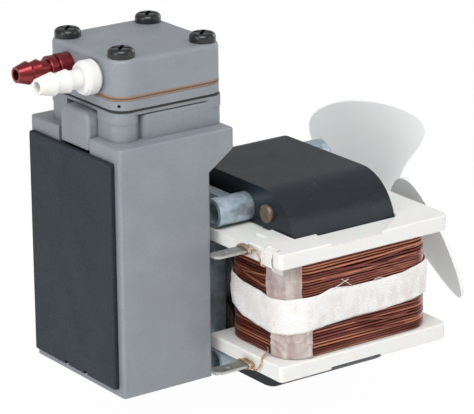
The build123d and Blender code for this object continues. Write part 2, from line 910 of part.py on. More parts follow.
def clamp_screw():
    """Countersunk screw that holds discs and diaphragm on the rod."""
    z = diaphragm_centre_z() + diaphragm_thickness
    sink = Cone(clamp_screw_radius(), small_screw_head_radius, clamp_disc_thickness)
    body = Pos(rod_x, 0, z + clamp_disc_thickness / 2) * sink
    body += rod_along_z(z - clamp_screw_length, z + 0.1, clamp_screw_radius(), rod_x)
    top = z + clamp_disc_thickness
    for angle in (0, 90):
        body -= Pos(rod_x, 0, top) * Rot(0, 0, angle) * Box(3.0, 0.6, 1.4)
    return body


# ---------------------------------------------------------------- front bracket

def post_places():
    """Feet (y, z) of the front bracket on the stack."""
    return [(y, shaft_height + sz * post_offset_z) for y in (post_near_y, post_far_y) for sz in (-1, 1)]


def bracket_pillars():
    """Heights of the two screws that hold the bracket to the housing."""
    return [shaft_height + sign * bracket_screw_offset for sign in (-1, 1)]


def front_bracket():
    """Cast frame that carries the front bearing between housing and stack."""
    x0 = bracket_plate_start
    x1 = bracket_plate_end
    body = rod_along_x(rear_x, x1, bracket_hub_radius, 0, shaft_height)
    body += rod_along_x(rear_x - rear_wall, rear_x + 1, bracket_spigot_radius, 0, shaft_height)
    outer_y = bracket_hub_radius
    inner_y = outer_y - bracket_upright_width
    half_bar = bracket_bar_width / 2
    for sign in (-1, 1):
        z = shaft_height + sign * bracket_screw_offset
        bar_z = shaft_height + sign * post_offset_z
        body += rod_along_x(rear_x, x1, bracket_pillar_radius, 0, z)
        body += block(x0, x1, -bracket_pillar_radius, bracket_pillar_radius, z, bar_z)
        body += block(x0, x1, post_near_y, post_far_y, bar_z - half_bar, bar_z + half_bar)
        low = shaft_height - post_offset_z
        high = shaft_height + post_offset_z
        body += block(x0, x1, sign * inner_y, sign * outer_y, low, high)
    for y, z in post_places():
        body += rod_along_x(stack_start - post_length, stack_start, post_radius, y, z)
    for y, z in post_places():
        body -= rod_along_x(stack_start - post_length - 1, post_seat(), small_screw_head_radius + 0.3, y, z)
        body -= rod_along_x(post_seat() - 1, stack_start + 1, small_screw_radius + screw_play, y, z)
    for z in bracket_pillars():
        body -= rod_along_x(rear_x - 1, rear_x + small_screw_grip + 1, small_screw_radius, 0, z)
    body -= rod_along_x(front_bearing_seat(), x1 + 1, ball_bearing_outer_radius, 0, shaft_height)
    mouth_radius = ball_bearing_outer_radius - bearing_lip
    body -= rod_along_x(rear_x - 10, front_bearing_seat() + 1, mouth_radius, 0, shaft_height)
    return body


def post_seat():
    """Where the heads of the stack screws sit inside the bracket's posts."""
    return stack_start - post_web


def bearing_clip():
    """Snap ring that keeps the front bearing in the bracket."""
    x0 = front_bearing_seat() + ball_bearing_width
    outer = ball_bearing_outer_radius
    body = ring_along_x(x0, x0 + bearing_clip_width, outer, outer - bearing_clip_thickness, 0, shaft_height)
    return body - block(x0 - 1, x0 + 2, -1.5, 1.5, shaft_height, shaft_height + outer + 1)


def small_screw(seat, way, tip, y, z):
    """A small cross-recess screw along X, its head on the far side of its seat."""
    top = seat + way * small_screw_head_height
    head = rod_along_x(min(seat, top), max(seat, top), small_screw_head_radius, y, z)
    head = fillet(head.edges().group_by(Axis.X)[0 if way < 0 else -1], 0.8)
    for angle in (0, 90):
        head -= Pos(top, y, z) * Rot(angle, 0, 0) * Box(1.8, 3.2, 0.7)
    shank_end = seat + way * 0.1
    return head + rod_along_x(min(shank_end, tip), max(shank_end, tip), small_screw_radius, y, z)


def front_bracket_screws():
    """Two screws from inside the housing into the bracket."""
    seat = rear_x - rear_wall
    return group(small_screw(seat, -1, rear_x + small_screw_grip, 0, z) for z in bracket_pillars())


def stack_screws():
    """Screws in the bracket's posts that hold it to the stack."""
    tip = stack_start + small_screw_grip
    return group(small_screw(post_seat(), -1, tip, y, z) for y, z in post_places())


def front_bearing_seat():
    """Start of the front bearing along the shaft."""
    return rear_x + bearing_shoulder


def front_bearing_middle():
    """Middle plane of the front bearing."""
    return front_bearing_seat() + ball_bearing_width / 2


def front_bearing_outer():
    """Outer ring of the front ball bearing."""
    x0 = front_bearing_seat()
    outer = ball_bearing_outer_radius
    body = ring_along_x(x0, x0 + ball_bearing_width, outer, outer - ball_bearing_race, 0, shaft_height)
    middle = front_bearing_middle()
    return body - race_groove(middle, front_ball_pitch, front_ball_radius, 0, shaft_height)


def front_bearing_inner():
    """Inner ring of the front ball bearing."""
    x0 = front_bearing_seat()
    outer = shaft_radius + ball_bearing_race
    body = ring_along_x(x0, x0 + ball_bearing_width, outer, shaft_radius, 0, shaft_height)
    middle = front_bearing_middle()
    return body - race_groove(middle, front_ball_pitch, front_ball_radius, 0, shaft_height)


def front_bearing_balls():
    """Balls of the front bearing."""
    middle = front_bearing_middle()
    return ball_ring(middle, front_ball_pitch, front_ball_radius, front_ball_count, 0, shaft_height)


# ---------------------------------------------------------------- motor stack

def stack_outline():
    """Outer outline of the C-shaped laminations, in (y, z)."""
    low = shaft_height - stack_half_height
    high = shaft_height + stack_half_height
    r = stack_corner_radius
    q = rotor_corner_radius
    return make_face(
        Line((coil_side_y + r, low), (rotor_side_y - q, low))
        + CenterArc((rotor_side_y - q, low + q), q, -90, 90)
        + Line((rotor_side_y, low + q), (rotor_side_y, high - q))
        + CenterArc((rotor_side_y - q, high - q), q, 0, 90)
        + Line((rotor_side_y - q, high), (coil_side_y + r, high))
        + CenterArc((coil_side_y + r, high - r), r, 90, 90)
        + Line((coil_side_y, high - r), (coil_side_y, low + r))
        + CenterArc((coil_side_y + r, low + r), r, 180, 90)
    )


def window_block():
    """The space between the two arms of the C, from the pole out past the coil side."""
    return block(
        stack_start - 1,
        stack_end + 1,
        coil_side_y - 5,
        pole_edge_y,
        shaft_height - window_half_height,
        shaft_height + window_half_height,
    )


def shading_places():
    """(y, z) pairs of slots for each shading ring: one at the bore, one behind the pole tip."""
    near = rotor_radius + air_gap + 0.71 * shading_bar + 0.4
    pairs = []
    for sign in (-1, 1):
        angle = math.radians(128)
        inner = (near * math.cos(angle), near * math.sin(angle))
        outer = (pole_edge_y + shading_bar / 2 + 1.2, window_half_height - 1.0)
        pairs.append([(y, shaft_height + sign * z) for y, z in (inner, outer)])
    return pairs


def field_stack():
    """C-shaped stack of laminations with the rotor bore."""
    body = along_x(stack_outline(), stack_start, stack_end)
    body -= window_block()
    body -= rod_along_x(stack_start - 1, stack_end + 1, rotor_radius + air_gap, 0, shaft_height)
    for y, z in post_places():
        body -= rod_along_x(stack_start - 1, stack_start + small_screw_grip + 1, small_screw_radius, y, z)
    for y, z in rear_post_places():
        body -= rod_along_x(stack_end - small_screw_grip - 1, stack_end + 1, small_screw_radius, y, z)
    for y, z in rivet_places():
        body -= rod_along_x(stack_start - 1, stack_end + 1, rivet_hole_radius, y, z)
    half = shading_bar / 2
    for pair in shading_places():
        for y, z in pair:
            body -= block(stack_start - 1, stack_end + 1, y - half, y + half, z - half, z + half)
    return body


def core_bar():
    """Straight stack that carries the coil and closes the C."""
    body = along_x(stack_outline(), stack_start, stack_end)
    keep = block(
        stack_start - 1,
        stack_end + 1,
        coil_side_y - 1,
        coil_side_y + core_width,
        shaft_height - window_half_height,
        shaft_height + window_half_height,
    )
    return body & keep


def rivet_places():
    """Rivets (y, z) through the two arms."""
    return [(rivet_y, shaft_height + sign * rivet_height) for sign in (-1, 1)]


def stack_rivets():
    """Rivets through the arms, domed at both ends."""
    rivets = []
    for y, z in rivet_places():
        body = rod_along_x(stack_start - 1.2, stack_end + 1.2, rivet_hole_radius, y, z)
        for x, way in ((stack_start, -1), (stack_end, 1)):
            cap = rod_along_x(min(x, x + way * 1.4), max(x, x + way * 1.4), rivet_radius, y, z)
            rim = cap.edges().group_by(Axis.X)[0 if way < 0 else -1]
            body += fillet(rim, 0.9)
        rivets.append(body)
    return group(rivets)


def shading_rings():
    """Closed copper loops through the pole tips."""
    rings = []
    half = shading_bar / 2
    for pair in shading_places():
        (y0, z0), (y1, z1) = pair
        ring = Part()
        for y, z in pair:
            ring += block(
                stack_start - shading_bar, stack_end + shading_bar, y - half, y + half, z - half, z + half
            )
        reach = math.hypot(y1 - y0, z1 - z0)
        angle = math.degrees(math.atan2(z1 - z0, y1 - y0))
        for x0, x1 in ((stack_start - shading_bar, stack_start), (stack_end, stack_end + shading_bar)):
            ring += Pos(0, y0, z0) * Rot(angle, 0, 0) * block(x0, x1, 0, reach, -half, half)
        rings.append(ring)
    return group(rings)


def rotor_core():
    """Rotor laminations on the shaft."""
    return ring_along_x(stack_start, stack_end, rotor_radius, shaft_radius, 0, shaft_height)


def rotor_end_rings():
    """Cast rings that short the rotor bars at both ends."""
    rings = []
    for x0, x1 in ((stack_start - 2, stack_start), (stack_end, stack_end + 4)):
        rings.append(ring_along_x(x0, x1, rotor_radius - 0.8, rotor_radius - 5, 0, shaft_height))
    return group(rings)


def shaft():
    """Motor shaft from the eccentric to the fan."""
    x0 = weight_span()[0] - 0.5
    x1 = fan_x + fan_hub_length / 2 + 1.5
    body = rod_along_x(x0, x1, shaft_radius, 0, shaft_height)
    return chamfer(body.edges().filter_by(GeomType.CIRCLE), 0.4)


# ---------------------------------------------------------------- coil

def rounded_box_outline(size_x, size_y, corner, z0, z1):
    """A rounded upright block about the core bar."""
    return slab(size_x, size_y, corner, z0, z1, stack_middle, core_middle_y)


def core_hole(z0, z1):
    """The opening in the bobbin for the core bar."""
    return block(
        stack_start - core_clearance,
        stack_end + core_clearance,
        coil_side_y - core_clearance,
        coil_side_y + core_width + core_clearance,
        z0,
        z1,
    )


def flange_plate(z0, z1):
    """Plate with rounded corners, the larger ones towards the fan."""
    end_x = bobbin_start + bobbin_length
    body = block(bobbin_start, end_x, bobbin_edge_y, bobbin_edge_y + bobbin_depth, z0, z1)
    body = fillet(body.edges().filter_by(Axis.Z).group_by(Axis.X)[-1], bobbin_end_radius)
    return fillet(body.edges().filter_by(Axis.Z).group_by(Axis.X)[0], bobbin_corner_radius)


def rim_outlines():
    """Outlines (x, y) of the raised parts of a flange, beside the stack's arm."""
    front = bobbin_edge_y - 1
    back = bobbin_edge_y + bobbin_depth + 1
    arm_y = coil_side_y - arm_clearance
    end_x = bobbin_start + bobbin_length + 1
    left_x = stack_start - arm_clearance
    right_x = stack_end + arm_clearance
    corner = [
        (bobbin_start - 1, front),
        (stack_start + rim_start_x, front),
        (stack_start + rim_start_x + rim_lead_in, arm_y),
        (left_x, arm_y),
        (left_x, rim_back_y),
        (left_x - rim_step_width, rim_back_y),
        (left_x - rim_step_width, arm_y + rim_step_width),
        (bobbin_start - 1, arm_y + rim_step_width),
    ]
    tail = [(stack_end - rim_slant, front), (end_x, front), (end_x, back), (right_x, back), (right_x, arm_y)]
    return corner, tail


def flange_rims(way):
    """Raised parts on the outer face of the upper (+1) or lower (-1) flange."""
    inner = shaft_height + way * (flange_outer - 0.5)
    outer = shaft_height + way * (flange_outer + bobbin_rim_height)
    rims = Part()
    for outline in rim_outlines():
        keep = Pos(0, 0, min(inner, outer)) * extrude(
            make_face(Polyline(*outline, close=True)), amount=abs(outer - inner)
        )
        rim = flange_plate(min(inner, outer), max(inner, outer)) & keep
        rims += chamfer(rim.edges().group_by(Axis.Z)[-1 if way > 0 else 0], 0.35)
    return rims


def bobbin():
    """Moulded bobbin: a tube with a thick flange at each end."""
    low = shaft_height - flange_outer
    high = shaft_height + flange_outer
    body = rounded_box_outline(tube_length, tube_depth, 1.0, low, high)
    for way, z0, z1 in ((-1, low, low + flange_thickness), (1, high - flange_thickness, high)):
        plate = flange_plate(z0, z1)
        inner_edges = plate.edges().group_by(Axis.Z)[-1 if way < 0 else 0]
        body += fillet(inner_edges, 0.6)
        body += flange_rims(way)
    body -= core_hole(low - 1, high + 1)
    slot_end = bobbin_start + tab_depth_in_flange
    for z in tab_heights():
        body -= block(bobbin_start - 1, slot_end, *tab_span(), z - tab_half, z + tab_half)
    return body


def tab_span():
    """Edges of the terminals across the flange."""
    return (tab_y - tab_width / 2, tab_y + tab_width / 2)


def tab_heights():
    """Heights of the lower and upper terminal."""
    drop = flange_outer - tab_cover - tab_half
    return [shaft_height - drop, shaft_height + drop]


def coil_winding():
    """The wound copper, as one block of rounded outline."""
    low = shaft_height - flange_inner
    high = shaft_height + flange_inner
    size_x = tube_length + 2 * winding_thickness
    size_y = tube_depth + 2 * winding_thickness
    body = rounded_box_outline(size_x, size_y, winding_corner_radius, low, high)
    return body - rounded_box_outline(tube_length, tube_depth, 1.0, low - 1, high + 1)


def wound_band(thickness, z0, z1):
    """A band of given thickness round the winding."""
    size_x = tube_length + 2 * winding_thickness
    size_y = tube_depth + 2 * winding_thickness
    outer_corner = winding_corner_radius + thickness
    outer = rounded_box_outline(size_x + 2 * thickness, size_y + 2 * thickness, outer_corner, z0, z1)
    return outer - rounded_box_outline(size_x, size_y, winding_corner_radius, z0 - 1, z1 + 1)


def cloth_tape():
    """Woven tape once round the middle of the winding."""
    half = cloth_tape_height / 2
    return wound_band(cloth_tape_thickness, shaft_height - half, shaft_height + half)


def corner_tapes():
    """Film tape on the winding's near corner, above and below the woven tape."""
    tapes = []
    half = cloth_tape_height / 2
    size_x = tube_length + 2 * winding_thickness
    size_y = tube_depth + 2 * winding_thickness
    corner_x = stack_middle - size_x / 2
    corner_y = core_middle_y - size_y / 2
    for z0, z1 in ((-flange_inner, -half), (half, flange_inner)):
        band = wound_band(corner_tape_thickness, shaft_height + z0, shaft_height + z1)
        keep = block(
            corner_x - 1,
            corner_x + corner_tape_width,
            corner_y - 1,
            corner_y + winding_corner_radius,
            shaft_height + z0,
            shaft_height + z1,
        )
        tapes.append(band & keep)
    return group(tapes)


def terminal(z):
    """A flat tab that stands out of the flange towards the pump."""
    y0, y1 = tab_span()
    tip = bobbin_start - tab_reach
    body = block(tip, bobbin_start + tab_depth_in_flange, y0, y1, z - tab_half, z + tab_half)
    corners = body.edges().filter_by(Axis.Z).group_by(Axis.X)[0]
    body = chamfer(corners, 1.3)
    return body - rod_along_z(z - 2, z + 2, tab_hole_radius, tip + tab_hole_place, tab_y)


def lead_wire(tab_z, way):
    """End of the winding wire, from the coil round the flange's edge to the root of a terminal."""
    face_x = stack_middle - tube_length / 2 - winding_thickness
    edge_z = shaft_height + way * flange_inner
    root_x = bobbin_start - lead_wrap_x
    y = tab_y - tab_width / 2 - lead_radius - 0.1
    start = (face_x - 0.1, y, edge_z - way * lead_drop)
    path = FilletPolyline(
        start,
        (face_x - lead_drop, y, edge_z - way * 0.75 * lead_drop),
        (root_x, y, edge_z - way * 0.5 * lead_drop),
        (root_x, y, tab_z - way * solder_half_height),
        radius=0.7,
    )
    section = Plane(origin=start, z_dir=path % 0) * Circle(lead_radius)
    return sweep(section, path=path)


def lead_wires():
    """Both ends of the winding wire."""
    lower_z, upper_z = tab_heights()
    return group([lead_wire(lower_z, -1), lead_wire(upper_z, 1)])


def solder_joint(tab_z):
    """Solder and wire wraps round the root of a terminal."""
    x1 = bobbin_start - 0.2
    x0 = x1 - solder_length
    y0, y1 = tab_span()
    low = tab_z - solder_half_height
    high = tab_z + solder_half_height
    body = block(x0, x1, y0 - solder_side, y1 + solder_side, low, high)
    body = chamfer(body.edges().filter_by(Axis.X), 0.25)
    return body - block(x0 - 1, x1 + 1, y0, y1, tab_z - tab_half, tab_z + tab_half)


def solder_joints():
    """Soldered wraps on both terminals."""
    return group(solder_joint(z) for z in tab_heights())


# ---------------------------------------------------------------- rear bracket

def rear_post_places():
    """Feet (y, z) of the rear bracket on the stack."""
    return [(rear_post_offset_y, shaft_height + sign * rear_post_offset_z) for sign in (-1, 1)]


def rear_plate_start():
    """Front face of the rear bracket's bridge."""
    return stack_end + rear_post_length


def rear_bracket():
    """Cast bridge over the rotor's rear end, with the rear bearing seat."""
    x0 = rear_plate_start()
    x1 = x0 + rear_bracket_thickness
    body = rod_along_x(x0, x0 + rear_hub_length, rear_hub_radius, 0, shaft_height)
    for place in rear_post_places():
        body += bracket_arm(place, rear_arm_width, x0, x1)
        y, z = place
        body += rod_along_x(stack_end, x1, rear_post_radius, y, z)
    for y, z in rear_post_places():
        body -= rod_along_x(stack_end - 1, x1 + 1, small_screw_radius + screw_play, y, z)
    body -= rod_along_x(rear_bush_start(), x0 + rear_hub_length + 1, rear_bush_radius, 0, shaft_height)
    body -= rod_along_x(x0 - 1, rear_bush_start() + 1, shaft_radius + 1.0, 0, shaft_height)
    return body


def bracket_arm(place, width, x0, x1):
    """A straight arm from the shaft axis to a foot."""
    y, z = place
    reach = math.hypot(y, z - shaft_height)
    angle = math.degrees(math.atan2(z - shaft_height, y))
    bar = block(x0, x1, 0, reach, -width / 2, width / 2)
    return Pos(0, 0, shaft_height) * Rot(angle, 0, 0) * bar


def rear_bush_start():
    """Where the rear bearing begins in its bracket."""
    return rear_plate_start() + rear_bush_shoulder


def rear_bush():
    """Sintered bearing for the shaft's rear end."""
    x0 = rear_bush_start()
    x1 = rear_plate_start() + rear_hub_length - oil_felt_room
    return ring_along_x(x0, x1, rear_bush_radius, shaft_radius + running_clearance, 0, shaft_height)


def oil_felt():
    """Felt ring that keeps oil at the rear bearing."""
    x0 = rear_plate_start() + rear_hub_length - oil_felt_room + oil_felt_play
    return ring_along_x(x0, x0 + oil_felt_thickness, rear_bush_radius, shaft_radius + 0.3, 0, shaft_height)


def rear_screws():
    """Screws that hold the rear bracket on the stack."""
    seat = rear_plate_start() + rear_bracket_thickness
    return group(small_screw(seat, 1, stack_end - small_screw_grip, y, z) for y, z in rear_post_places())


def thrust_washers():
    """Washers on the shaft beside each bearing."""
    front = front_bearing_seat() + ball_bearing_width + 0.1
    rear = rear_plate_start() - 1.2
    washers = []
    for x in (front, rear):
        washers.append(ring_along_x(x, x + 0.8, shaft_radius + 1.3, shaft_radius, 0, shaft_height))
    return group(washers)


# ---------------------------------------------------------------- fan

def blade_outline():
    """Flat sickle outline of one blade: across its chord, and outward from the shaft."""
    points = [(across * fan_radius, outward * fan_radius) for across, outward in fan_blade_form]
    return make_face(Spline(*points) + Line(points[-1], points[0]))


def fan():
    """Moulded fan with pitched blades on a round hub."""
    half = fan_hub_length / 2
    hub = rod_along_x(fan_x - half, fan_x + half, fan_hub_radius, 0, shaft_height)
    hub = fillet(hub.edges().group_by(Axis.X)[-1], 1.5)
    body = hub
    for index in range(fan_blade_count):
        angle = fan_first_blade_angle + index * 360 / fan_blade_count
        plane = Plane(origin=(0, 0, 0), x_dir=(0, -1, 0), z_dir=(-1, 0, 0))
        flat = extrude(plane * blade_outline(), amount=fan_blade_thickness / 2, both=True)
        pitched = Rot(0, 0, fan_blade_pitch) * flat
        body += Pos(fan_x, 0, shaft_height) * Rot(angle, 0, 0) * pitched
    body -= rod_along_x(fan_x - half - 1, fan_x + half + 1, shaft_radius, 0, shaft_height)
    return body


def fan_clip():
    """Pressed clip that holds the fan on the shaft."""
    x0 = fan_x + fan_hub_length / 2
    return ring_along_x(x0, x0 + 0.8, shaft_radius + 2.0, shaft_radius, 0, shaft_height)


# ---------------------------------------------------------------- write the nodes

NODES = {
    "housing": housing,
    "front_cover": front_cover,
    "diaphragm_base": diaphragm_base,
    "diaphragm": diaphragm,
    "valve_plate": valve_plate,
    "intake_flap": intake_flap,
    "exhaust_flap": exhaust_flap,
    "flap_keepers": flap_keepers,
    "valve_sheet": valve_sheet,
    "head_gasket": head_gasket,
    "head_cover": head_cover,
    "head_screws": head_screws,
    "vacuum_barb": vacuum_barb,
    "pressure_barb": pressure_barb,
    "eccentric": eccentric,
    "crank_set_screw": crank_set_screw,
    "rod_bearing_inner": rod_bearing_inner,
    "rod_bearing_balls": rod_bearing_balls,
    "rod_bearing_outer": rod_bearing_outer,
    "connecting_rod": connecting_rod,
    "lower_clamp_disc": lower_clamp_disc,
    "upper_clamp_disc": upper_clamp_disc,
    "clamp_screw": clamp_screw,
    "front_bracket": front_bracket,
    "front_bracket_screws": front_bracket_screws,
    "stack_screws": stack_screws,
    "bearing_clip": bearing_clip,
    "front_bearing_outer": front_bearing_outer,
    "front_bearing_balls": front_bearing_balls,
    "front_bearing_inner": front_bearing_inner,
    "field_stack": field_stack,
    "core_bar": core_bar,
    "stack_rivets": stack_rivets,
    "shading_rings": shading_rings,
    "rotor_core": rotor_core,
    "rotor_end_rings": rotor_end_rings,
    "shaft": shaft,
    "bobbin": bobbin,
    "coil_winding": coil_winding,
    "cloth_tape": cloth_tape,
    "corner_tapes": corner_tapes,
    "lead_wires": lead_wires,
    "solder_joints": solder_joints,
    "rear_bracket": rear_bracket,
    "rear_bush": rear_bush,
    "oil_felt": oil_felt,
    "rear_screws": rear_screws,
    "thrust_washers": thrust_washers,
    "fan": fan,
    "fan_clip": fan_clip,
}

os.makedirs("parts", exist_ok=True)
for name, make in NODES.items():
    save(name, make())
lower_tab_z, upper_tab_z = tab_heights()
save("lower_terminal", terminal(lower_tab_z))
save("upper_terminal", terminal(upper_tab_z))
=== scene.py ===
"""Finishes, wound coil, tapes and stage of a diaphragm vacuum pump, laid out as an add-on."""

import math

import bmesh
import bpy
from bpy.props import FloatProperty, FloatVectorProperty, IntProperty, PointerProperty
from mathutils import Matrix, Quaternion, Vector, noise


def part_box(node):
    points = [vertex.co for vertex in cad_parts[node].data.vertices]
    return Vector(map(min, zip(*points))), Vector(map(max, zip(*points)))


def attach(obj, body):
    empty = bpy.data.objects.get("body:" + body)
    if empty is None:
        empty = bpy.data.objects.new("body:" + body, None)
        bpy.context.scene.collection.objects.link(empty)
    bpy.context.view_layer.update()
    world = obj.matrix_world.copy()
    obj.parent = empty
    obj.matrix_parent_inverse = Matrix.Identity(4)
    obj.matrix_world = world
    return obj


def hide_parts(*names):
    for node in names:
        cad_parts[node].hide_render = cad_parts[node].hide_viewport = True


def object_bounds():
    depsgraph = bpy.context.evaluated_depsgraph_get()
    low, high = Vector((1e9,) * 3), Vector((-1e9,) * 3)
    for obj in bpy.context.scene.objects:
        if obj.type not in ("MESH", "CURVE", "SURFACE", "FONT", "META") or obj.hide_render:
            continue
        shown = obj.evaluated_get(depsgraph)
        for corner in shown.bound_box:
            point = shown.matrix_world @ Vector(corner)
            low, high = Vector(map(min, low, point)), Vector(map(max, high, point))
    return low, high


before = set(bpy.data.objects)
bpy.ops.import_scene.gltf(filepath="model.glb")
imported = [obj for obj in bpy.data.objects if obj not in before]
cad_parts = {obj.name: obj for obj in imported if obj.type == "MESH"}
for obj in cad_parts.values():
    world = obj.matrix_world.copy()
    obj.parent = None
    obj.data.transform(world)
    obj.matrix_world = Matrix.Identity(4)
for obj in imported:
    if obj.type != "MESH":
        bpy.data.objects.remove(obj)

bl_info = {
    "name": "Diaphragm Vacuum Pump Looks",
    "version": (1, 0, 0),
    "blender": (4, 5, 0),
    "location": "3D View > Sidebar > Pump",
    "description": "Dresses the pump's castings, coil, tapes, hose barbs and fan",
    "category": "Object",
}

MM = 0.001
WINDING_CORNER = 9.0 * MM
LAMINATION = 0.5 * MM
# Edges of the woven tape, in mm above the winding's foot, at shares of the way round the coil
TAPE_EDGES = (
    (0.00, 9.9, 20.9), (0.12, 9.4, 20.2), (0.25, 9.2, 19.8), (0.36, 10.0, 20.4), (0.434, 10.9, 20.8),
    (0.471, 8.7, 19.6), (0.513, 8.0, 19.2), (0.545, 7.5, 18.4), (0.58, 7.7, 18.7), (0.611, 8.4, 19.3),
    (0.644, 9.1, 19.4), (0.678, 9.5, 20.5), (0.729, 9.8, 19.6), (0.784, 9.7, 19.5), (0.832, 10.1, 19.8),
    (0.886, 10.9, 21.1), (0.95, 10.7, 21.2), (1.00, 9.9, 20.9),
)
CAD_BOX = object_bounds()


def colour_property(name, description, default):
    """A colour that a user can change."""
    return FloatVectorProperty(
        name=name, description=description, default=default, subtype="COLOR", size=3, min=0.0, max=1.0
    )


def length_property(name, description, default_mm):
    """A length that a user can change, in metres."""
    return FloatProperty(
        name=name, description=description, default=default_mm * MM, unit="LENGTH", precision=5
    )


# ---------------------------------------------------------------- settings

class PumpColours(bpy.types.PropertyGroup):
    """Colours of the pump's finishes."""

    casting: colour_property("Casting", "Paint on the pump's castings", (0.222, 0.242, 0.268))
    casting_worn: colour_property("Casting, rubbed", "Paint rubbed by handling", (0.268, 0.290, 0.316))
    cover: colour_property("Cover", "Charcoal plastic of the front cover", (0.009, 0.015, 0.022))
    black_oxide: colour_property("Black oxide", "Head screws", (0.010, 0.011, 0.013))
    fibre: colour_property("Fibre", "Brown gasket sheet", (0.24, 0.145, 0.095))
    red: colour_property("Red", "Anodised vacuum barb", (0.21, 0.012, 0.018))
    nylon: colour_property("Nylon", "White mouldings", (0.76, 0.76, 0.735))
    fan: colour_property("Fan", "Natural plastic of the fan", (0.95, 0.965, 0.96))
    zinc: colour_property("Zinc", "Motor brackets", (0.38, 0.48, 0.55))
    varnish: colour_property("Varnish", "Black varnish on the laminations", (0.004, 0.008, 0.014))
    # Painted shade: copper for the dark rows of the winding
    copper: colour_property("Copper", "Enamelled winding wire", (0.22, 0.043, 0.022))
    copper_in_shade: colour_property("Copper, dark", "Enamelled wire in the dark rows", (0.10, 0.014, 0.008))
    cloth: colour_property("Cloth", "Woven tape", (0.88, 0.86, 0.84))
    film: colour_property("Film", "Clear tape on the coil's corner", (0.46, 0.34, 0.32))


class CoilSettings(bpy.types.PropertyGroup):
    """Sizes of the wound coil."""

    wire: length_property("Wire", "Diameter of the winding wire", 0.78)
    wander: length_property("Wander", "How far turns stray up and down", 0.55)
    sink: length_property("Sink", "How deep a turn may lie between its neighbours", 0.62)
    stray_turns: IntProperty(
        name="Stray turns", description="Turns that cross over the top layer", default=9, min=0
    )
    tape_thickness: length_property("Tape", "Thickness of the woven tape", 0.35)
    film_thickness: length_property("Film", "Thickness of the film tape", 0.08)


class StageSettings(bpy.types.PropertyGroup):
    """Camera, floor and light."""

    lens: FloatProperty(name="Lens", description="Focal length of the camera in mm", default=217.7)
    azimuth: FloatProperty(name="Azimuth", description="Camera's bearing in degrees", default=-35.55)
    elevation: FloatProperty(name="Elevation", description="Camera's height angle in degrees", default=18.25)
    roll: FloatProperty(name="Roll", description="Camera's tilt about its own axis in degrees", default=-0.52)
    distance: FloatProperty(name="Distance", description="Camera to target", default=0.8473, unit="LENGTH")
    target: FloatVectorProperty(
        name="Target", description="Point that the camera looks at", default=(0.0199, -0.0322, 0.0551),
        size=3, subtype="TRANSLATION",
    )
    floor_colour: colour_property("Floor", "Colour of floor and background", (0.93, 0.93, 0.93))


# ---------------------------------------------------------------- shader building

def both_ways(operation):
    """Methods of an operation with a Wire on its left and on its right."""
    return (
        lambda self, other: self.calculate(operation, self, other),
        lambda self, other: self.calculate(operation, other, self),
    )


class Wire:
    """An output socket that takes part in expressions."""

    def __init__(self, tree, socket):
        self.tree = tree
        self.socket = socket

    def calculate(self, operation, first, second=0.0):
        node = self.tree.nodes.new("ShaderNodeMath")
        node.operation = operation
        for entry, value in zip(node.inputs, (first, second)):
            join(self.tree, value, entry)
        return Wire(self.tree, node.outputs[0])

    __add__, __radd__ = both_ways("ADD")
    __sub__, __rsub__ = both_ways("SUBTRACT")
    __mul__, __rmul__ = both_ways("MULTIPLY")


def sine(wire):
    """Sine of a Wire in radians."""
    return wire.calculate("SINE", wire)


def join(tree, value, entry):
    """Links a Wire to an input socket, or sets a plain value on it."""
    if isinstance(value, Wire):
        tree.links.new(value.socket, entry)
    elif entry.type == "RGBA" and len(value) == 3:
        entry.default_value = (*value, 1.0)
    else:
        entry.default_value = value


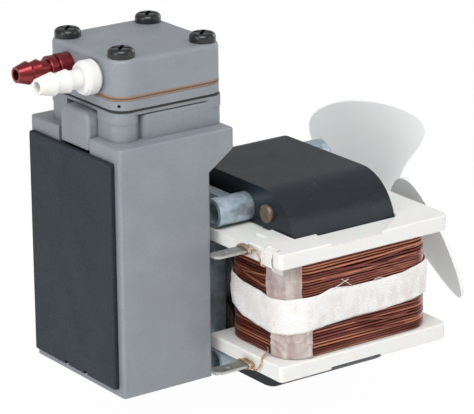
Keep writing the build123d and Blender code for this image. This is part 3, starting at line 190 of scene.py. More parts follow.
class Finish:
    """One material while it is built."""

    def __init__(self, name, **constants):
        self.material = bpy.data.materials.new(name)
        self.material.use_nodes = True
        self.tree = self.material.node_tree
        self.shader = self.tree.nodes["Principled BSDF"]
        for socket, value in constants.items():
            join(self.tree, value, self.shader.inputs[socket.replace("_", " ")])

    def node(self, kind, settings=None, sockets=None, output=0):
        """Adds any node: its settings first, then the values or links of its sockets."""
        made = self.tree.nodes.new(kind)
        for name, value in (settings or {}).items():
            if name == "stops":
                self.fill_ramp(made.color_ramp, value)
            else:
                setattr(made, name, value)
        for name, value in (sockets or {}).items():
            join(self.tree, value, made.inputs[name])
        return Wire(self.tree, made.outputs[output])

    def fill_ramp(self, ramp, stops):
        while len(ramp.elements) < len(stops):
            ramp.elements.new(0.5)
        for element, (place, shade) in zip(ramp.elements, stops):
            element.position = place
            element.color = (*shade, 1.0) if hasattr(shade, "__len__") else (shade, shade, shade, 1.0)

    def place(self, stretch=(1, 1, 1), turn=(0, 0, 0)):
        """Object coordinates, stretched and turned."""
        where = self.node("ShaderNodeTexCoord", output="Object")
        return self.node(
            "ShaderNodeMapping", {}, {"Vector": where, "Scale": stretch, "Rotation": turn}
        )

    def noise(self, size_mm, stretch=(1, 1, 1), detail=3.0, roughness=0.5, turn=(0, 0, 0)):
        """Cloudy noise whose lumps are about size_mm wide."""
        where = self.place(stretch, turn)
        return self.node(
            "ShaderNodeTexNoise", {},
            {"Vector": where, "Scale": 1.0 / (size_mm * MM), "Detail": detail, "Roughness": roughness},
        )

    def cells(self, size_mm, output="Distance"):
        """Voronoi cells about size_mm wide."""
        return self.node(
            "ShaderNodeTexVoronoi", {}, {"Vector": self.place(), "Scale": 1.0 / (size_mm * MM)}, output
        )

    def ramp(self, value, *stops):
        """Maps a value through a ramp of (place, shade) stops."""
        return self.node("ShaderNodeValToRGB", {"stops": stops}, {"Fac": value})

    def patches(self, low, high, *size_and_stretch, **settings):
        """Noise that is 0 below low and 1 above high."""
        return self.ramp(self.noise(*size_and_stretch, **settings), (low, 0.0), (high, 1.0))

    def mix(self, factor, first, second):
        """Mixes two colours. A Mix node in colour mode has its colours at inputs 6 and 7 and output 2."""
        mixer = self.tree.nodes.new("ShaderNodeMix")
        mixer.data_type = "RGBA"
        for index, value in ((0, factor), (6, first), (7, second)):
            join(self.tree, value, mixer.inputs[index])
        return Wire(self.tree, mixer.outputs[2])

    def crevice(self, reach_mm):
        """0 in the open and 1 in corners and joints."""
        open_share = self.node(
            "ShaderNodeAmbientOcclusion", {"samples": 8}, {"Distance": reach_mm * MM}, output="AO"
        )
        return 1.0 - open_share

    def shade_in_joints(self, reach_mm, share, base, shade_colour):
        """Mixes a darker colour into a colour in corners and joints, by ambient occlusion: painted shade."""
        return self.mix(self.crevice(reach_mm) * share, base, shade_colour)

    def relief(self, height, depth_mm, strength=1.0):
        """Bumps the surface by a height field."""
        bump = self.node(
            "ShaderNodeBump", {}, {"Height": height, "Distance": depth_mm * MM, "Strength": strength}
        )
        join(self.tree, bump, self.shader.inputs["Normal"])

    def dress(self, **links):
        """Feeds the shader's varying sockets."""
        for socket, value in links.items():
            join(self.tree, value, self.shader.inputs[socket.replace("_", " ")])
        return self.material


# ---------------------------------------------------------------- finishes

def painted_casting(colours):
    """Light grey paint on a die casting, with a fine orange peel and painted shade in its joints."""
    finish = Finish("painted_casting", Coat_Roughness=0.3)
    cloud = finish.noise(11.0, detail=4.0)
    rubbed = finish.ramp(cloud, (0.42, 0.0), (0.72, 1.0))
    base = finish.mix(rubbed * 0.5, colours.casting, colours.casting_worn)
    speck = finish.patches(0.52, 0.70, 0.55, detail=3.0)
    base = finish.mix(speck * 0.30, base, (0.145, 0.155, 0.170))
    # Darker in corners and joints by ambient occlusion: painted shade
    base = finish.shade_in_joints(1.3, 0.5, base, (0.07, 0.075, 0.08))
    peel = finish.noise(0.7, detail=2.0) + 0.35 * finish.noise(0.22, detail=1.0)
    finish.relief(peel, 0.025, 0.9)
    return finish.dress(Base_Color=base, Roughness=0.36 + 0.16 * cloud, Coat_Weight=0.2 * rubbed)


def cover_plastic(colours):
    """Charcoal moulded plastic with a fine spark texture."""
    finish = Finish("cover_plastic", Specular_IOR_Level=0.3)
    grain = finish.cells(0.62)
    cloud = finish.noise(14.0, detail=3.0)
    base = finish.mix(finish.ramp(grain, (0.2, 0.0), (0.7, 1.0)) * 0.5, colours.cover, (0.025, 0.036, 0.049))
    scratch = finish.patches(0.66, 0.72, 1.6, (1, 0.06, 1), 3.0, turn=(0.5, 0, 0))
    base = finish.mix(scratch * 0.12, base, (0.08, 0.085, 0.10))
    # Darker in corners and joints by ambient occlusion: painted shade
    base = finish.shade_in_joints(1.0, 0.8, base, (0.006, 0.007, 0.009))
    finish.relief(grain, 0.06, 0.9)
    return finish.dress(Base_Color=base, Roughness=0.46 + 0.2 * cloud)


def black_screws(colours):
    """Black oxide steel, a little rubbed on its high places."""
    finish = Finish("black_oxide_steel", Metallic=0.2, Coat_Roughness=0.18)
    worn = finish.patches(0.55, 0.78, 1.3, detail=5.0)
    base = finish.mix(worn * 0.4, colours.black_oxide, (0.035, 0.038, 0.044))
    finish.relief(finish.noise(0.4, detail=3.0), 0.012, 0.5)
    return finish.dress(Base_Color=base, Roughness=0.30 + 0.2 * worn, Coat_Weight=0.3 - 0.25 * worn)


def fibre_sheet(colours):
    """Compressed brown fibre with pale strands, dark where the two sheets meet."""
    finish = Finish("fibre_sheet")
    strands = finish.noise(1.8, (0.35, 0.35, 3.0), 5.0)
    flecks = finish.patches(0.5, 0.7, 0.5, (0.6, 0.6, 2.0), 4.0)
    height = finish.node("ShaderNodeSeparateXYZ", {}, {"Vector": finish.place()}, output="Z")
    joint = (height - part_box("head_gasket")[0].z) * (1.0 / (0.45 * MM))
    line = finish.ramp(joint * joint, (0.0, 1.0), (0.6, 0.0))
    base = finish.mix(strands, colours.fibre, (0.34, 0.23, 0.165))
    base = finish.mix(flecks * 0.5, base, (0.12, 0.07, 0.045))
    base = finish.mix(line * 0.8, base, (0.055, 0.036, 0.028))
    finish.relief(strands, 0.05, 0.8)
    return finish.dress(Base_Color=base, Roughness=0.75 + 0.2 * flecks)


def black_rubber(colours):
    """Moulded rubber with a chalky bloom."""
    finish = Finish("black_rubber")
    bloom = finish.noise(3.0, detail=5.0)
    base = finish.mix(bloom * 0.5, (0.012, 0.012, 0.013), (0.04, 0.04, 0.042))
    finish.relief(finish.noise(0.3), 0.02, 0.5)
    return finish.dress(Base_Color=base, Roughness=0.55 + 0.3 * bloom)


def red_anodised(colours):
    """Turned aluminium, anodised red, with fine tool rings round the bore."""
    finish = Finish("red_anodised_aluminium", Metallic=0.85, Coat_Roughness=0.1)
    rings = finish.noise(0.22, (1, 0.02, 0.02), 2.0)
    cloud = finish.noise(4.0, detail=3.0)
    base = finish.mix(cloud * 0.5, colours.red, (0.34, 0.035, 0.040))
    # Darker in corners and joints by ambient occlusion: painted shade
    base = finish.shade_in_joints(0.8, 0.6, base, (0.05, 0.002, 0.003))
    finish.relief(rings, 0.015, 0.6)
    return finish.dress(Base_Color=base, Roughness=0.25 + 0.15 * rings, Coat_Weight=0.4 + 0.2 * cloud)


def white_nylon(colours):
    """Moulded natural nylon, slightly uneven and waxy."""
    finish = Finish("white_nylon", Subsurface_Weight=0.25, Subsurface_Scale=0.0015, Specular_IOR_Level=0.45)
    cloud = finish.noise(8.0, detail=4.0)
    flow = finish.noise(3.0, (0.2, 1.0, 1.0), 3.0)
    base = finish.mix(cloud * 0.5, colours.nylon, (0.78, 0.775, 0.74))
    # Darker in corners and joints by ambient occlusion: painted shade
    base = finish.shade_in_joints(1.2, 0.5, base, (0.50, 0.48, 0.44))
    finish.relief(flow + 0.4 * finish.noise(0.5), 0.03, 0.5)
    return finish.dress(Base_Color=base, Roughness=0.36 + 0.18 * cloud)


def fan_plastic(colours):
    """Thin natural plastic that lets some light through."""
    finish = Finish("fan_plastic", Subsurface_Weight=0.05, Subsurface_Scale=0.001)
    cloud = finish.noise(12.0, detail=3.0)
    sweep = finish.noise(5.0, (3.0, 0.4, 0.4), 2.0)
    base = finish.mix(cloud * 0.3, colours.fan, (0.88, 0.90, 0.895))
    # Darker in corners and joints by ambient occlusion: painted shade
    base = finish.shade_in_joints(1.5, 0.4, base, (0.40, 0.43, 0.44))
    finish.relief(sweep, 0.03, 0.4)
    return finish.dress(Base_Color=base, Roughness=0.34 + 0.15 * cloud)


def cast_zinc(colours):
    """Bare zinc die casting with a mottled skin."""
    finish = Finish("cast_zinc", Metallic=0.75)
    skin = finish.cells(1.7, output="Color")
    shade = finish.patches(0.40, 0.60, 2.4, detail=8.0, roughness=0.72)
    base = finish.mix(shade * 0.8, colours.zinc, (0.60, 0.69, 0.76))
    base = finish.mix(0.03, base, skin)
    # Darker in corners and joints by ambient occlusion: painted shade
    base = finish.shade_in_joints(2.0, 0.7, base, (0.07, 0.06, 0.05))
    finish.relief(finish.noise(0.9, detail=6.0), 0.12, 0.8)
    return finish.dress(Base_Color=base, Roughness=0.34 + 0.22 * shade)


def lamination_lines(finish):
    """0 to 1 across each lamination along the shaft."""
    along = finish.node("ShaderNodeSeparateXYZ", {}, {"Vector": finish.place()}, output="X")
    return 0.5 + 0.5 * sine(along * (2 * math.pi / LAMINATION))


def varnished_laminations(colours):
    """Black varnish over stacked sheet steel: faint sheet edges, scuffs and scratches."""
    finish = Finish("varnished_laminations", Coat_Roughness=0.2, Specular_IOR_Level=0.35)
    lines = lamination_lines(finish)
    cloud = finish.noise(7.0, detail=5.0, roughness=0.6)
    streak = finish.noise(2.2, (0.5, 0.12, 3.0), 4.0)
    scuff = finish.ramp(streak, (0.58, 0.0), (0.75, 1.0))
    hair = finish.patches(0.70, 0.74, 1.1, (0.9, 0.05, 0.9), 4.0, turn=(0, 0, 0.5))
    base = finish.mix(cloud * 0.7, colours.varnish, (0.007, 0.012, 0.020))
    base = finish.mix(scuff * 0.35, base, (0.034, 0.040, 0.050))
    base = finish.mix(hair * 0.3, base, (0.20, 0.19, 0.20))
    finish.relief(lines * 0.5 + cloud, 0.03, 0.55)
    return finish.dress(Base_Color=base, Roughness=0.34 + 0.25 * cloud, Coat_Weight=0.2 - 0.18 * scuff)


def bare_laminations(colours):
    """Bare sheet steel edges of rotor and core."""
    finish = Finish("bare_laminations", Metallic=0.8)
    lines = lamination_lines(finish)
    rust = finish.patches(0.5, 0.8, 4.0, detail=5.0)
    base = finish.mix(lines, (0.16, 0.16, 0.165), (0.30, 0.30, 0.31))
    base = finish.mix(rust * 0.4, base, (0.20, 0.12, 0.08))
    finish.relief(lines, 0.05, 0.6)
    return finish.dress(Base_Color=base, Roughness=0.4 + 0.25 * rust)


def rivet_copper(colours):
    """Dull copper with hammer marks."""
    finish = Finish("rivet_copper", Metallic=0.7)
    marks = finish.noise(1.5, detail=5.0)
    base = finish.mix(marks, (0.11, 0.075, 0.055), (0.27, 0.20, 0.155))
    finish.relief(finish.noise(0.8, detail=4.0), 0.08, 0.7)
    return finish.dress(Base_Color=base, Roughness=0.35 + 0.25 * marks)


def enamelled_wire(colours):
    """Enamelled copper; each turn has its own shade, which drifts along it: the dark turns are painted shade
    and the brightest are painted highlights.
    """
    finish = Finish("enamelled_copper", Metallic=0.5, Coat_Roughness=0.1)
    own = finish.node("ShaderNodeAttribute", {"attribute_name": "shade"}, output="Fac")
    drift = finish.noise(16.0, (1.0, 1.0, 4.0), 2.0)
    spots = finish.noise(2.0, (0.5, 0.5, 2.0), 3.0)
    level = own + 0.6 * drift + 0.25 * spots - 0.43
    # Dark turns take the shaded copper: painted shade
    lit_share = finish.ramp(level, (0.22, 0.0), (0.50, 1.0))
    # Brightest turns are lifted towards a pale copper: painted highlight
    painted_highlight = finish.ramp(level, (0.50, 0.0), (0.66, 1.0))
    base = finish.mix(lit_share, colours.copper_in_shade, colours.copper)
    base = finish.mix(painted_highlight * 0.6, base, (0.60, 0.22, 0.11))
    # Darker between turns by ambient occlusion: painted shade
    base = finish.shade_in_joints(0.6, 0.9, base, (0.025, 0.004, 0.003))
    return finish.dress(Base_Color=base, Roughness=0.24 + 0.15 * spots, Coat_Weight=0.6 * lit_share)


def buried_copper_in_shade(colours):
    """Lower layers of the winding, seen only in the gaps, coloured near-black: painted shade between the top
    turns.
    """
    finish = Finish("buried_copper_in_shade", Metallic=0.4)
    turns = finish.noise(0.6, (0.03, 0.03, 1.0), 2.0)
    # Near-black copper: painted shade in the gaps
    base = finish.mix(turns, (0.016, 0.003, 0.002), (0.07, 0.013, 0.007))
    finish.relief(turns, 0.15, 1.0)
    return finish.dress(Base_Color=base, Roughness=0.45 + 0.2 * turns)


def weave(finish, pitch_mm):
    """Height of a plain weave over the piece's own UV map, which is in metres."""
    mapped = finish.node("ShaderNodeUVMap", {"uv_map": "cloth"})
    along = finish.node("ShaderNodeSeparateXYZ", {}, {"Vector": mapped}, output="X")
    across = finish.node("ShaderNodeSeparateXYZ", {}, {"Vector": mapped}, output="Y")
    turn = math.pi / (pitch_mm * MM)
    return 0.5 + 0.5 * sine(along * turn) * sine(across * turn)


def woven_cloth(colours):
    """White woven tape with a soft nap and soiled places, with painted shade in its creases and joints."""
    finish = Finish("woven_cloth", Sheen_Weight=0.25, Subsurface_Weight=0.1, Subsurface_Scale=0.0008)
    threads = weave(finish, 0.42)
    soil = finish.patches(0.52, 0.80, 7.0, detail=4.0)
    fuzz = finish.noise(0.35, detail=3.0)
    base = finish.mix(threads * 0.45, colours.cloth, (0.70, 0.69, 0.66))
    wrinkle = finish.noise(3.2, (1.0, 1.0, 0.5), 3.0)
    # Darker in the creases of the wrinkles: painted shade
    base = finish.mix(finish.ramp(wrinkle, (0.38, 1.0), (0.55, 0.0)) * 0.28, base, (0.58, 0.51, 0.47))
    base = finish.mix(soil * 0.35, base, (0.70, 0.60, 0.52))
    # Darker in corners and joints by ambient occlusion: painted shade
    base = finish.shade_in_joints(0.9, 0.5, base, (0.48, 0.44, 0.40))
    finish.relief(threads + 0.8 * fuzz + 3.0 * wrinkle, 0.14, 1.0)
    return finish.dress(Base_Color=base, Roughness=0.78 + 0.15 * fuzz)


def clear_film(colours):
    """Thin pinkish film, creased and partly see-through, with painted highlights along its creases."""
    finish = Finish("clear_film", IOR=1.4)
    folds = finish.noise(3.0, (1.0, 1.0, 0.28), 4.0)
    # Paler on the folds: painted highlights along the creases
    pale = finish.ramp(folds, (0.40, 0.0), (0.64, 1.0))
    base = finish.mix(pale, colours.film, (0.66, 0.59, 0.55))
    haze = finish.patches(0.35, 0.7, 4.5, (1, 1, 1.6), 3.0)
    finish.relief(folds, 0.5, 0.7)
    return finish.dress(Base_Color=base, Roughness=0.14 + 0.2 * folds, Alpha=0.62 + 0.30 * haze)


def white_film(colours):
    """Film crumpled until it is milky, with glossy ridges."""
    finish = Finish("white_film", IOR=1.45)
    folds = finish.noise(1.6, (1.0, 0.6, 1.0), 5.0)
    base = finish.mix(folds, (0.62, 0.58, 0.52), (0.90, 0.89, 0.86))
    finish.relief(folds + 0.5 * finish.noise(0.6), 0.35, 0.9)
    return finish.dress(Base_Color=base, Roughness=0.28 + 0.25 * folds)


def tinned_metal(colours):
    """Tinned brass with dull patches."""
    finish = Finish("tinned_metal", Metallic=0.9)
    dull = finish.noise(2.4, detail=5.0)
    brushed = finish.noise(0.5, (0.1, 1.0, 1.0), 3.0)
    base = finish.mix(dull, (0.34, 0.34, 0.33), (0.62, 0.62, 0.60))
    base = finish.mix(finish.ramp(dull, (0.58, 0.0), (0.75, 1.0)) * 0.4, base, (0.28, 0.24, 0.17))
    finish.relief(brushed + dull, 0.03, 0.6)
    return finish.dress(Base_Color=base, Roughness=0.30 + 0.3 * dull)


def solder(colours):
    """Solder with amber flux left on it."""
    finish = Finish("solder", Metallic=0.75, Coat_Roughness=0.1)
    flux = finish.patches(0.42, 0.62, 1.6, detail=4.0)
    base = finish.mix(flux, (0.62, 0.61, 0.57), (0.34, 0.24, 0.12))
    finish.relief(finish.noise(0.9, detail=4.0), 0.12, 0.8)
    return finish.dress(Base_Color=base, Roughness=0.22 + 0.25 * flux, Coat_Weight=0.7 * flux)


def tinned_wire(colours):
    """Stripped wire, part tinned and part still lacquered."""
    finish = Finish("tinned_wire", Metallic=0.7, Coat_Roughness=0.15)
    bare = finish.patches(0.42, 0.56, 1.4, detail=3.0)
    base = finish.mix(bare, (0.66, 0.60, 0.50), (0.50, 0.27, 0.13))
    # Darker in corners and joints by ambient occlusion: painted shade
    base = finish.shade_in_joints(0.4, 0.8, base, (0.10, 0.06, 0.04))
    finish.relief(finish.noise(0.4, detail=3.0), 0.02, 0.7)
    return finish.dress(Base_Color=base, Roughness=0.3 + 0.2 * bare)


def plated_steel(colours):
    """Ground and plated steel with fine machining marks."""
    finish = Finish("plated_steel", Metallic=0.95)
    marks = finish.noise(0.4, (1.0, 0.08, 0.08), 3.0)
    dull = finish.noise(5.0, detail=4.0)
    base = finish.mix(dull, (0.42, 0.43, 0.44), (0.60, 0.61, 0.62))
    finish.relief(marks, 0.01, 0.6)
    return finish.dress(Base_Color=base, Roughness=0.22 + 0.2 * dull)


def cast_aluminium(colours):
    """Cast aluminium of the rod, discs and rotor rings."""
    finish = Finish("cast_aluminium", Metallic=0.85)
    skin = finish.noise(1.2, detail=6.0, roughness=0.65)
    base = finish.mix(skin, (0.48, 0.49, 0.50), (0.68, 0.69, 0.70))
    finish.relief(skin, 0.05, 0.6)
    return finish.dress(Base_Color=base, Roughness=0.35 + 0.2 * skin)


def sintered_bronze(colours):
    """Porous bronze, dark with oil."""
    finish = Finish("sintered_bronze", Metallic=0.8)
    pores = finish.ramp(finish.cells(0.25), (0.1, 0.0), (0.4, 1.0))
    base = finish.mix(pores, (0.12, 0.07, 0.03), (0.42, 0.28, 0.13))
    finish.relief(pores, 0.03, 0.8)
    return finish.dress(Base_Color=base, Roughness=0.55 - 0.2 * pores)


def oiled_felt(colours):
    """Matted wool fibres, stained with oil."""
    finish = Finish("oiled_felt", Sheen_Weight=0.3)
    fibres = finish.noise(0.5, (1.0, 0.3, 1.0), 5.0, 0.7)
    stain = finish.noise(3.0, detail=3.0)
    base = finish.mix(fibres, (0.36, 0.31, 0.22), (0.66, 0.62, 0.52))
    base = finish.mix(stain * 0.5, base, (0.22, 0.16, 0.09))
    finish.relief(fibres, 0.15, 0.9)
    return finish.dress(Base_Color=base, Roughness=0.9 - 0.2 * stain)


CAD_FINISHES = (
    (painted_casting, ("housing", "diaphragm_base", "valve_plate", "head_cover")),
    (cover_plastic, ("front_cover",)),
    (black_screws, ("head_screws",)),
    (fibre_sheet, ("valve_sheet", "head_gasket")),
    (black_rubber, ("diaphragm", "intake_flap", "exhaust_flap")),
    (red_anodised, ("vacuum_barb",)),
    (white_nylon, ("pressure_barb", "bobbin")),
    (fan_plastic, ("fan",)),
    (cast_zinc, ("front_bracket", "rear_bracket", "eccentric")),
    (varnished_laminations, ("field_stack", "core_bar")),
    (bare_laminations, ("rotor_core",)),
    (rivet_copper, ("stack_rivets", "shading_rings")),
    (tinned_metal, ("upper_terminal", "lower_terminal")),
    (plated_steel, (
        "front_bracket_screws", "stack_screws", "rear_screws", "bearing_clip", "front_bearing_outer",
        "front_bearing_balls", "front_bearing_inner", "rod_bearing_inner", "rod_bearing_balls",
        "rod_bearing_outer", "crank_set_screw", "clamp_screw", "flap_keepers", "shaft", "thrust_washers",
        "fan_clip",
    )),
    (cast_aluminium, ("connecting_rod", "lower_clamp_disc", "upper_clamp_disc", "rotor_end_rings")),
    (sintered_bronze, ("rear_bush",)),
    (oiled_felt, ("oil_felt",)),
)
made_finishes = {}


def finish_of(make):
    """The material that a finish function makes, made once."""
    if make not in made_finishes:
        made_finishes[make] = make(bpy.context.scene.pump_colours)
    return made_finishes[make]


# ---------------------------------------------------------------- mesh helpers

def put(name, data):
    """An object in the scene, at the origin."""
    thing = bpy.data.objects.new(name, data)
    bpy.context.scene.collection.objects.link(thing)
    return thing


def add_piece(name, mesh, make, replaces=()):
    """Puts a finished mesh on the pump's body, with its finish."""
    piece = put(name, mesh)
    mesh.materials.clear()
    mesh.materials.append(finish_of(make))
    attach(piece, "pump_body")
    if replaces:
        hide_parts(*replaces)
    return piece


def mesh_of(name, bm, crease=40.0):
    """Turns a bmesh into a mesh that is shaded smooth up to a crease angle."""
    mesh = bpy.data.meshes.new(name)
    bm.to_mesh(mesh)
    bm.free()
    mesh.shade_smooth()
    mesh.set_sharp_from_angle(angle=math.radians(crease))
    return mesh


def wire_mesh(name, paths, radius, cyclic=False, resolution=1):
    """Round wires along lists of points, each with its own "shade" for the wire's finish."""
    curve = bpy.data.curves.new(name, "CURVE")
    curve.dimensions = "3D"
    curve.bevel_depth = radius
    curve.bevel_resolution = resolution
    curve.use_fill_caps = not cyclic
    for points in paths:
        spline = curve.splines.new("POLY" if cyclic else "NURBS")
        spline.points.add(len(points) - 1)
        for target, place in zip(spline.points, points):
            target.co = (*place, 1.0)
        spline.use_cyclic_u = cyclic
        if not cyclic:
            spline.order_u = 3
            spline.use_endpoint_u = True
            spline.resolution_u = 6
    holder = bpy.data.objects.new(name, curve)
    mesh = bpy.data.meshes.new_from_object(holder)
    bpy.data.objects.remove(holder)
    bpy.data.curves.remove(curve)
    mesh.name = name
    mesh.shade_smooth()
    shades = mesh.attributes.new("shade", "FLOAT", "POINT")
    share = len(mesh.vertices) // len(paths)
    for index, entry in enumerate(shades.data):
        entry.value = 0.5 + 0.5 * noise.noise(Vector(((index // share) * 7.31, 2.9, 0.4)))
    return mesh


class CoilOutline:
    """Rounded rectangle that the winding follows, seen from above."""

    def __init__(self, grow=0.0):
        low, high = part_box("coil_winding")
        self.low = low.z
        self.high = high.z
        self.centre = (low + high) / 2
        self.half = (Vector((high.x - low.x, high.y - low.y)) / 2) + Vector((grow, grow))
        self.corner = WINDING_CORNER + grow

    def length(self):
        inner = self.half - Vector((self.corner, self.corner))
        return 4 * (inner.x + inner.y) + 2 * math.pi * self.corner

    def at(self, share):
        """Point and outward direction a share of the way round, from the middle of the +X side."""
        quarter = math.pi * self.corner / 2
        way = (share % 1.0) * self.length()
        inner = self.half - Vector((self.corner, self.corner))
        way += inner.y
        turn = 0
        while True:
            reach = inner.y if turn % 2 == 0 else inner.x
            depth = self.half.x if turn % 2 == 0 else self.half.y
            angle = turn * math.pi / 2
            out = Vector((math.cos(angle), math.sin(angle)))
            along = Vector((-out.y, out.x))
            if way <= 2 * reach:
                return self.centre.xy + out * depth + along * (way - reach), out
            way -= 2 * reach
            if way <= quarter:
                bend = angle + way / self.corner
                radial = Vector((math.cos(bend), math.sin(bend)))
                corner_centre = self.centre.xy + out * (depth - self.corner) + along * reach
                return corner_centre + radial * self.corner, radial
            way -= quarter
            turn += 1


def eased(way):
    """0 to 1 with a gentle start and end."""
    return way * way * (3 - 2 * way)


def between(table, share, column):
    """Smoothly interpolated value from a closed table of (share, value, ...) rows."""
    share %= 1.0
    for (start, *first), (end, *second) in zip(table, table[1:]):
        if start <= share <= end:
            way = eased((share - start) / (end - start))
            return first[column] * (1 - way) + second[column] * way
    raise ValueError("share outside the table")


def ribbon(columns, rows, place, width=1.0, length=1.0):
    """An open sheet of columns x rows segments, laid by place(across 0..1, along 0..1).

    Its UV map is its flat size in metres.
    """
    bm = bmesh.new()
    grid = bmesh.ops.create_grid(bm, x_segments=columns, y_segments=rows, size=0.5)["verts"]
    layer = bm.loops.layers.uv.new("cloth")
    spots = {vert: (vert.co.x + 0.5, vert.co.y + 0.5) for vert in grid}
    for face in bm.faces:
        for loop in face.loops:
            across, along = spots[loop.vert]
            loop[layer].uv = (across * width, along * length)
    for vert, (across, along) in spots.items():
        vert.co = place(across, along)
    bmesh.ops.reverse_faces(bm, faces=bm.faces)
    return bm


def thicken(piece, thickness):
    """Gives a sheet its thickness with a Solidify modifier: outwards, or inwards if it is negative."""
    modifier = piece.modifiers.new("thickness", "SOLIDIFY")
    modifier.thickness = thickness
    modifier.offset = 1.0


# ---------------------------------------------------------------- operators

class PUMP_OT_cad_finishes(bpy.types.Operator):
    """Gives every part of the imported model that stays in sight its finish"""

    bl_idname = "pump.cad_finishes"
    bl_label = "Finish the castings, metal and plastic parts"

    def execute(self, context):
        for make, nodes in CAD_FINISHES:
            for name in nodes:
                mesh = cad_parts[name].data
                mesh.materials.clear()
                mesh.materials.append(finish_of(make))
        return {"FINISHED"}


class PUMP_OT_winding(bpy.types.Operator):
    """Winds the visible layer of enamelled wire round the coil"""

    bl_idname = "pump.winding"
    bl_label = "Wind the coil"

    samples = 112
    stray_samples = 26
    pitch_share = 1.09
    calm_height = 2.5 * MM
    buried_depth = 1.25
    rib_height = 0.15 * MM
    core_thickness = 2.0 * MM
    # Where stray turns lie: start and end round the coil, then lowest and highest mm on it
    stray_bands = (
        (0.655, 0.90, 21.4, 27.6), (0.70, 0.865, 1.6, 7.8),
        (0.455, 0.545, 21.0, 28.0), (0.06, 0.40, 1.8, 8.2),
    )
    band_order = (0, 1, 0, 2, 0, 1, 3, 0, 2)

    def turn_path(self, settings, outline, height, turn):
        """One turn of the visible layer, whose height and depth stray smoothly, least near the flanges."""
        low = outline.low + settings.wire / 2
        high = outline.high - settings.wire / 2
        own_depth = 0.5 + 0.5 * noise.noise(Vector((turn * 0.83, 3.7, 0.0)))
        path = []
        for index in range(self.samples):
            place, out = outline.at(index / self.samples)
            room = max(0.0, min(1.0, (height - low) / self.calm_height, (high - height) / self.calm_height))
            sway = noise.noise(Vector((place.x * 26, place.y * 26, height * 420)))
            slow = noise.noise(Vector((place.x * 13 + 5, place.y * 13, height * 110)))
            deep = 0.5 + 0.5 * noise.noise(Vector((place.x * 22, place.y * 22 + 9, height * 700)))
            z = min(max(height + room * settings.wander * (0.55 * sway + 1.0 * slow), low), high)
            spot = place - out * (settings.wire * 0.35 + settings.sink * (0.5 * own_depth + 0.6 * deep))
            path.append((spot.x, spot.y, z))
        return path

    def stray_path(self, settings, outline, start, end, foot, rise):
        """A length of wire that lies over the top layer, climbs and dives back under it."""
        path = []
        for index in range(self.stray_samples + 1):
            way = index / self.stray_samples
            place, out = outline.at(start + (end - start) * way)
            over = math.sin(math.pi * way) ** 0.5
            z = outline.low + foot + rise * eased(way) + 0.1 * MM * math.sin(9 * way + foot * 4000)
            spot = place + out * (settings.wire * (1.1 * over - 0.9))
            path.append((spot.x, spot.y, z))
        return path

    def buried_layers(self, settings, pitch):
        """The ribbed layers under the visible turns, some wire diameters deep."""
        outline = CoilOutline(-self.buried_depth * settings.wire)

        def place(across, along):
            spot, out = outline.at(along)
            z = outline.low + across * (outline.high - outline.low)
            rib = self.rib_height * math.sin(2 * math.pi * (z - outline.low) / pitch)
            spot = spot + out * rib
            return Vector((spot.x, spot.y, z))

        bm = ribbon(150, 120, place)
        bmesh.ops.remove_doubles(bm, verts=bm.verts, dist=0.01 * MM)
        mesh = mesh_of("buried_turns", bm)
        core = add_piece(
            "buried_turns", mesh, buried_copper_in_shade, replaces=("coil_winding",)
        )
        thicken(core, -self.core_thickness)

    def stray_paths(self, settings, outline):
        """The stray turns, spread over their bands and climbing by turns up and down."""
        paths = []
        for stray in range(settings.stray_turns):
            start, end, low, high = self.stray_bands[self.band_order[stray % len(self.band_order)]]
            part = (0.37 + 0.618 * stray) % 1.0
            foot = low + part * (high - low)
            rise = (-1) ** stray * (1.2 + 1.1 * ((0.41 * stray) % 1.0))
            rise = min(max(foot + rise, low), high) - foot
            shift = (end - start) * 0.25 * ((0.77 * stray) % 1.0)
            path = self.stray_path(settings, outline, start + shift, end - 0.4 * shift, foot * MM, rise * MM)
            paths.append(path)
        return paths

    def execute(self, context):
        settings = context.scene.pump_coil
        outline = CoilOutline()
        pitch = settings.wire * self.pitch_share
        count = int((outline.high - outline.low) / pitch)
        turns = [
            self.turn_path(settings, outline, outline.low + settings.wire * 0.55 + turn * pitch, turn)
            for turn in range(count)
        ]
        mesh = wire_mesh("winding_turns", turns, settings.wire / 2, cyclic=True)
        add_piece("winding_turns", mesh, enamelled_wire)
        self.buried_layers(settings, pitch)
        strays = self.stray_paths(settings, outline)
        mesh = wire_mesh("stray_turns", strays, settings.wire / 2, resolution=2)
        add_piece("stray_turns", mesh, enamelled_wire)
        return {"FINISHED"}


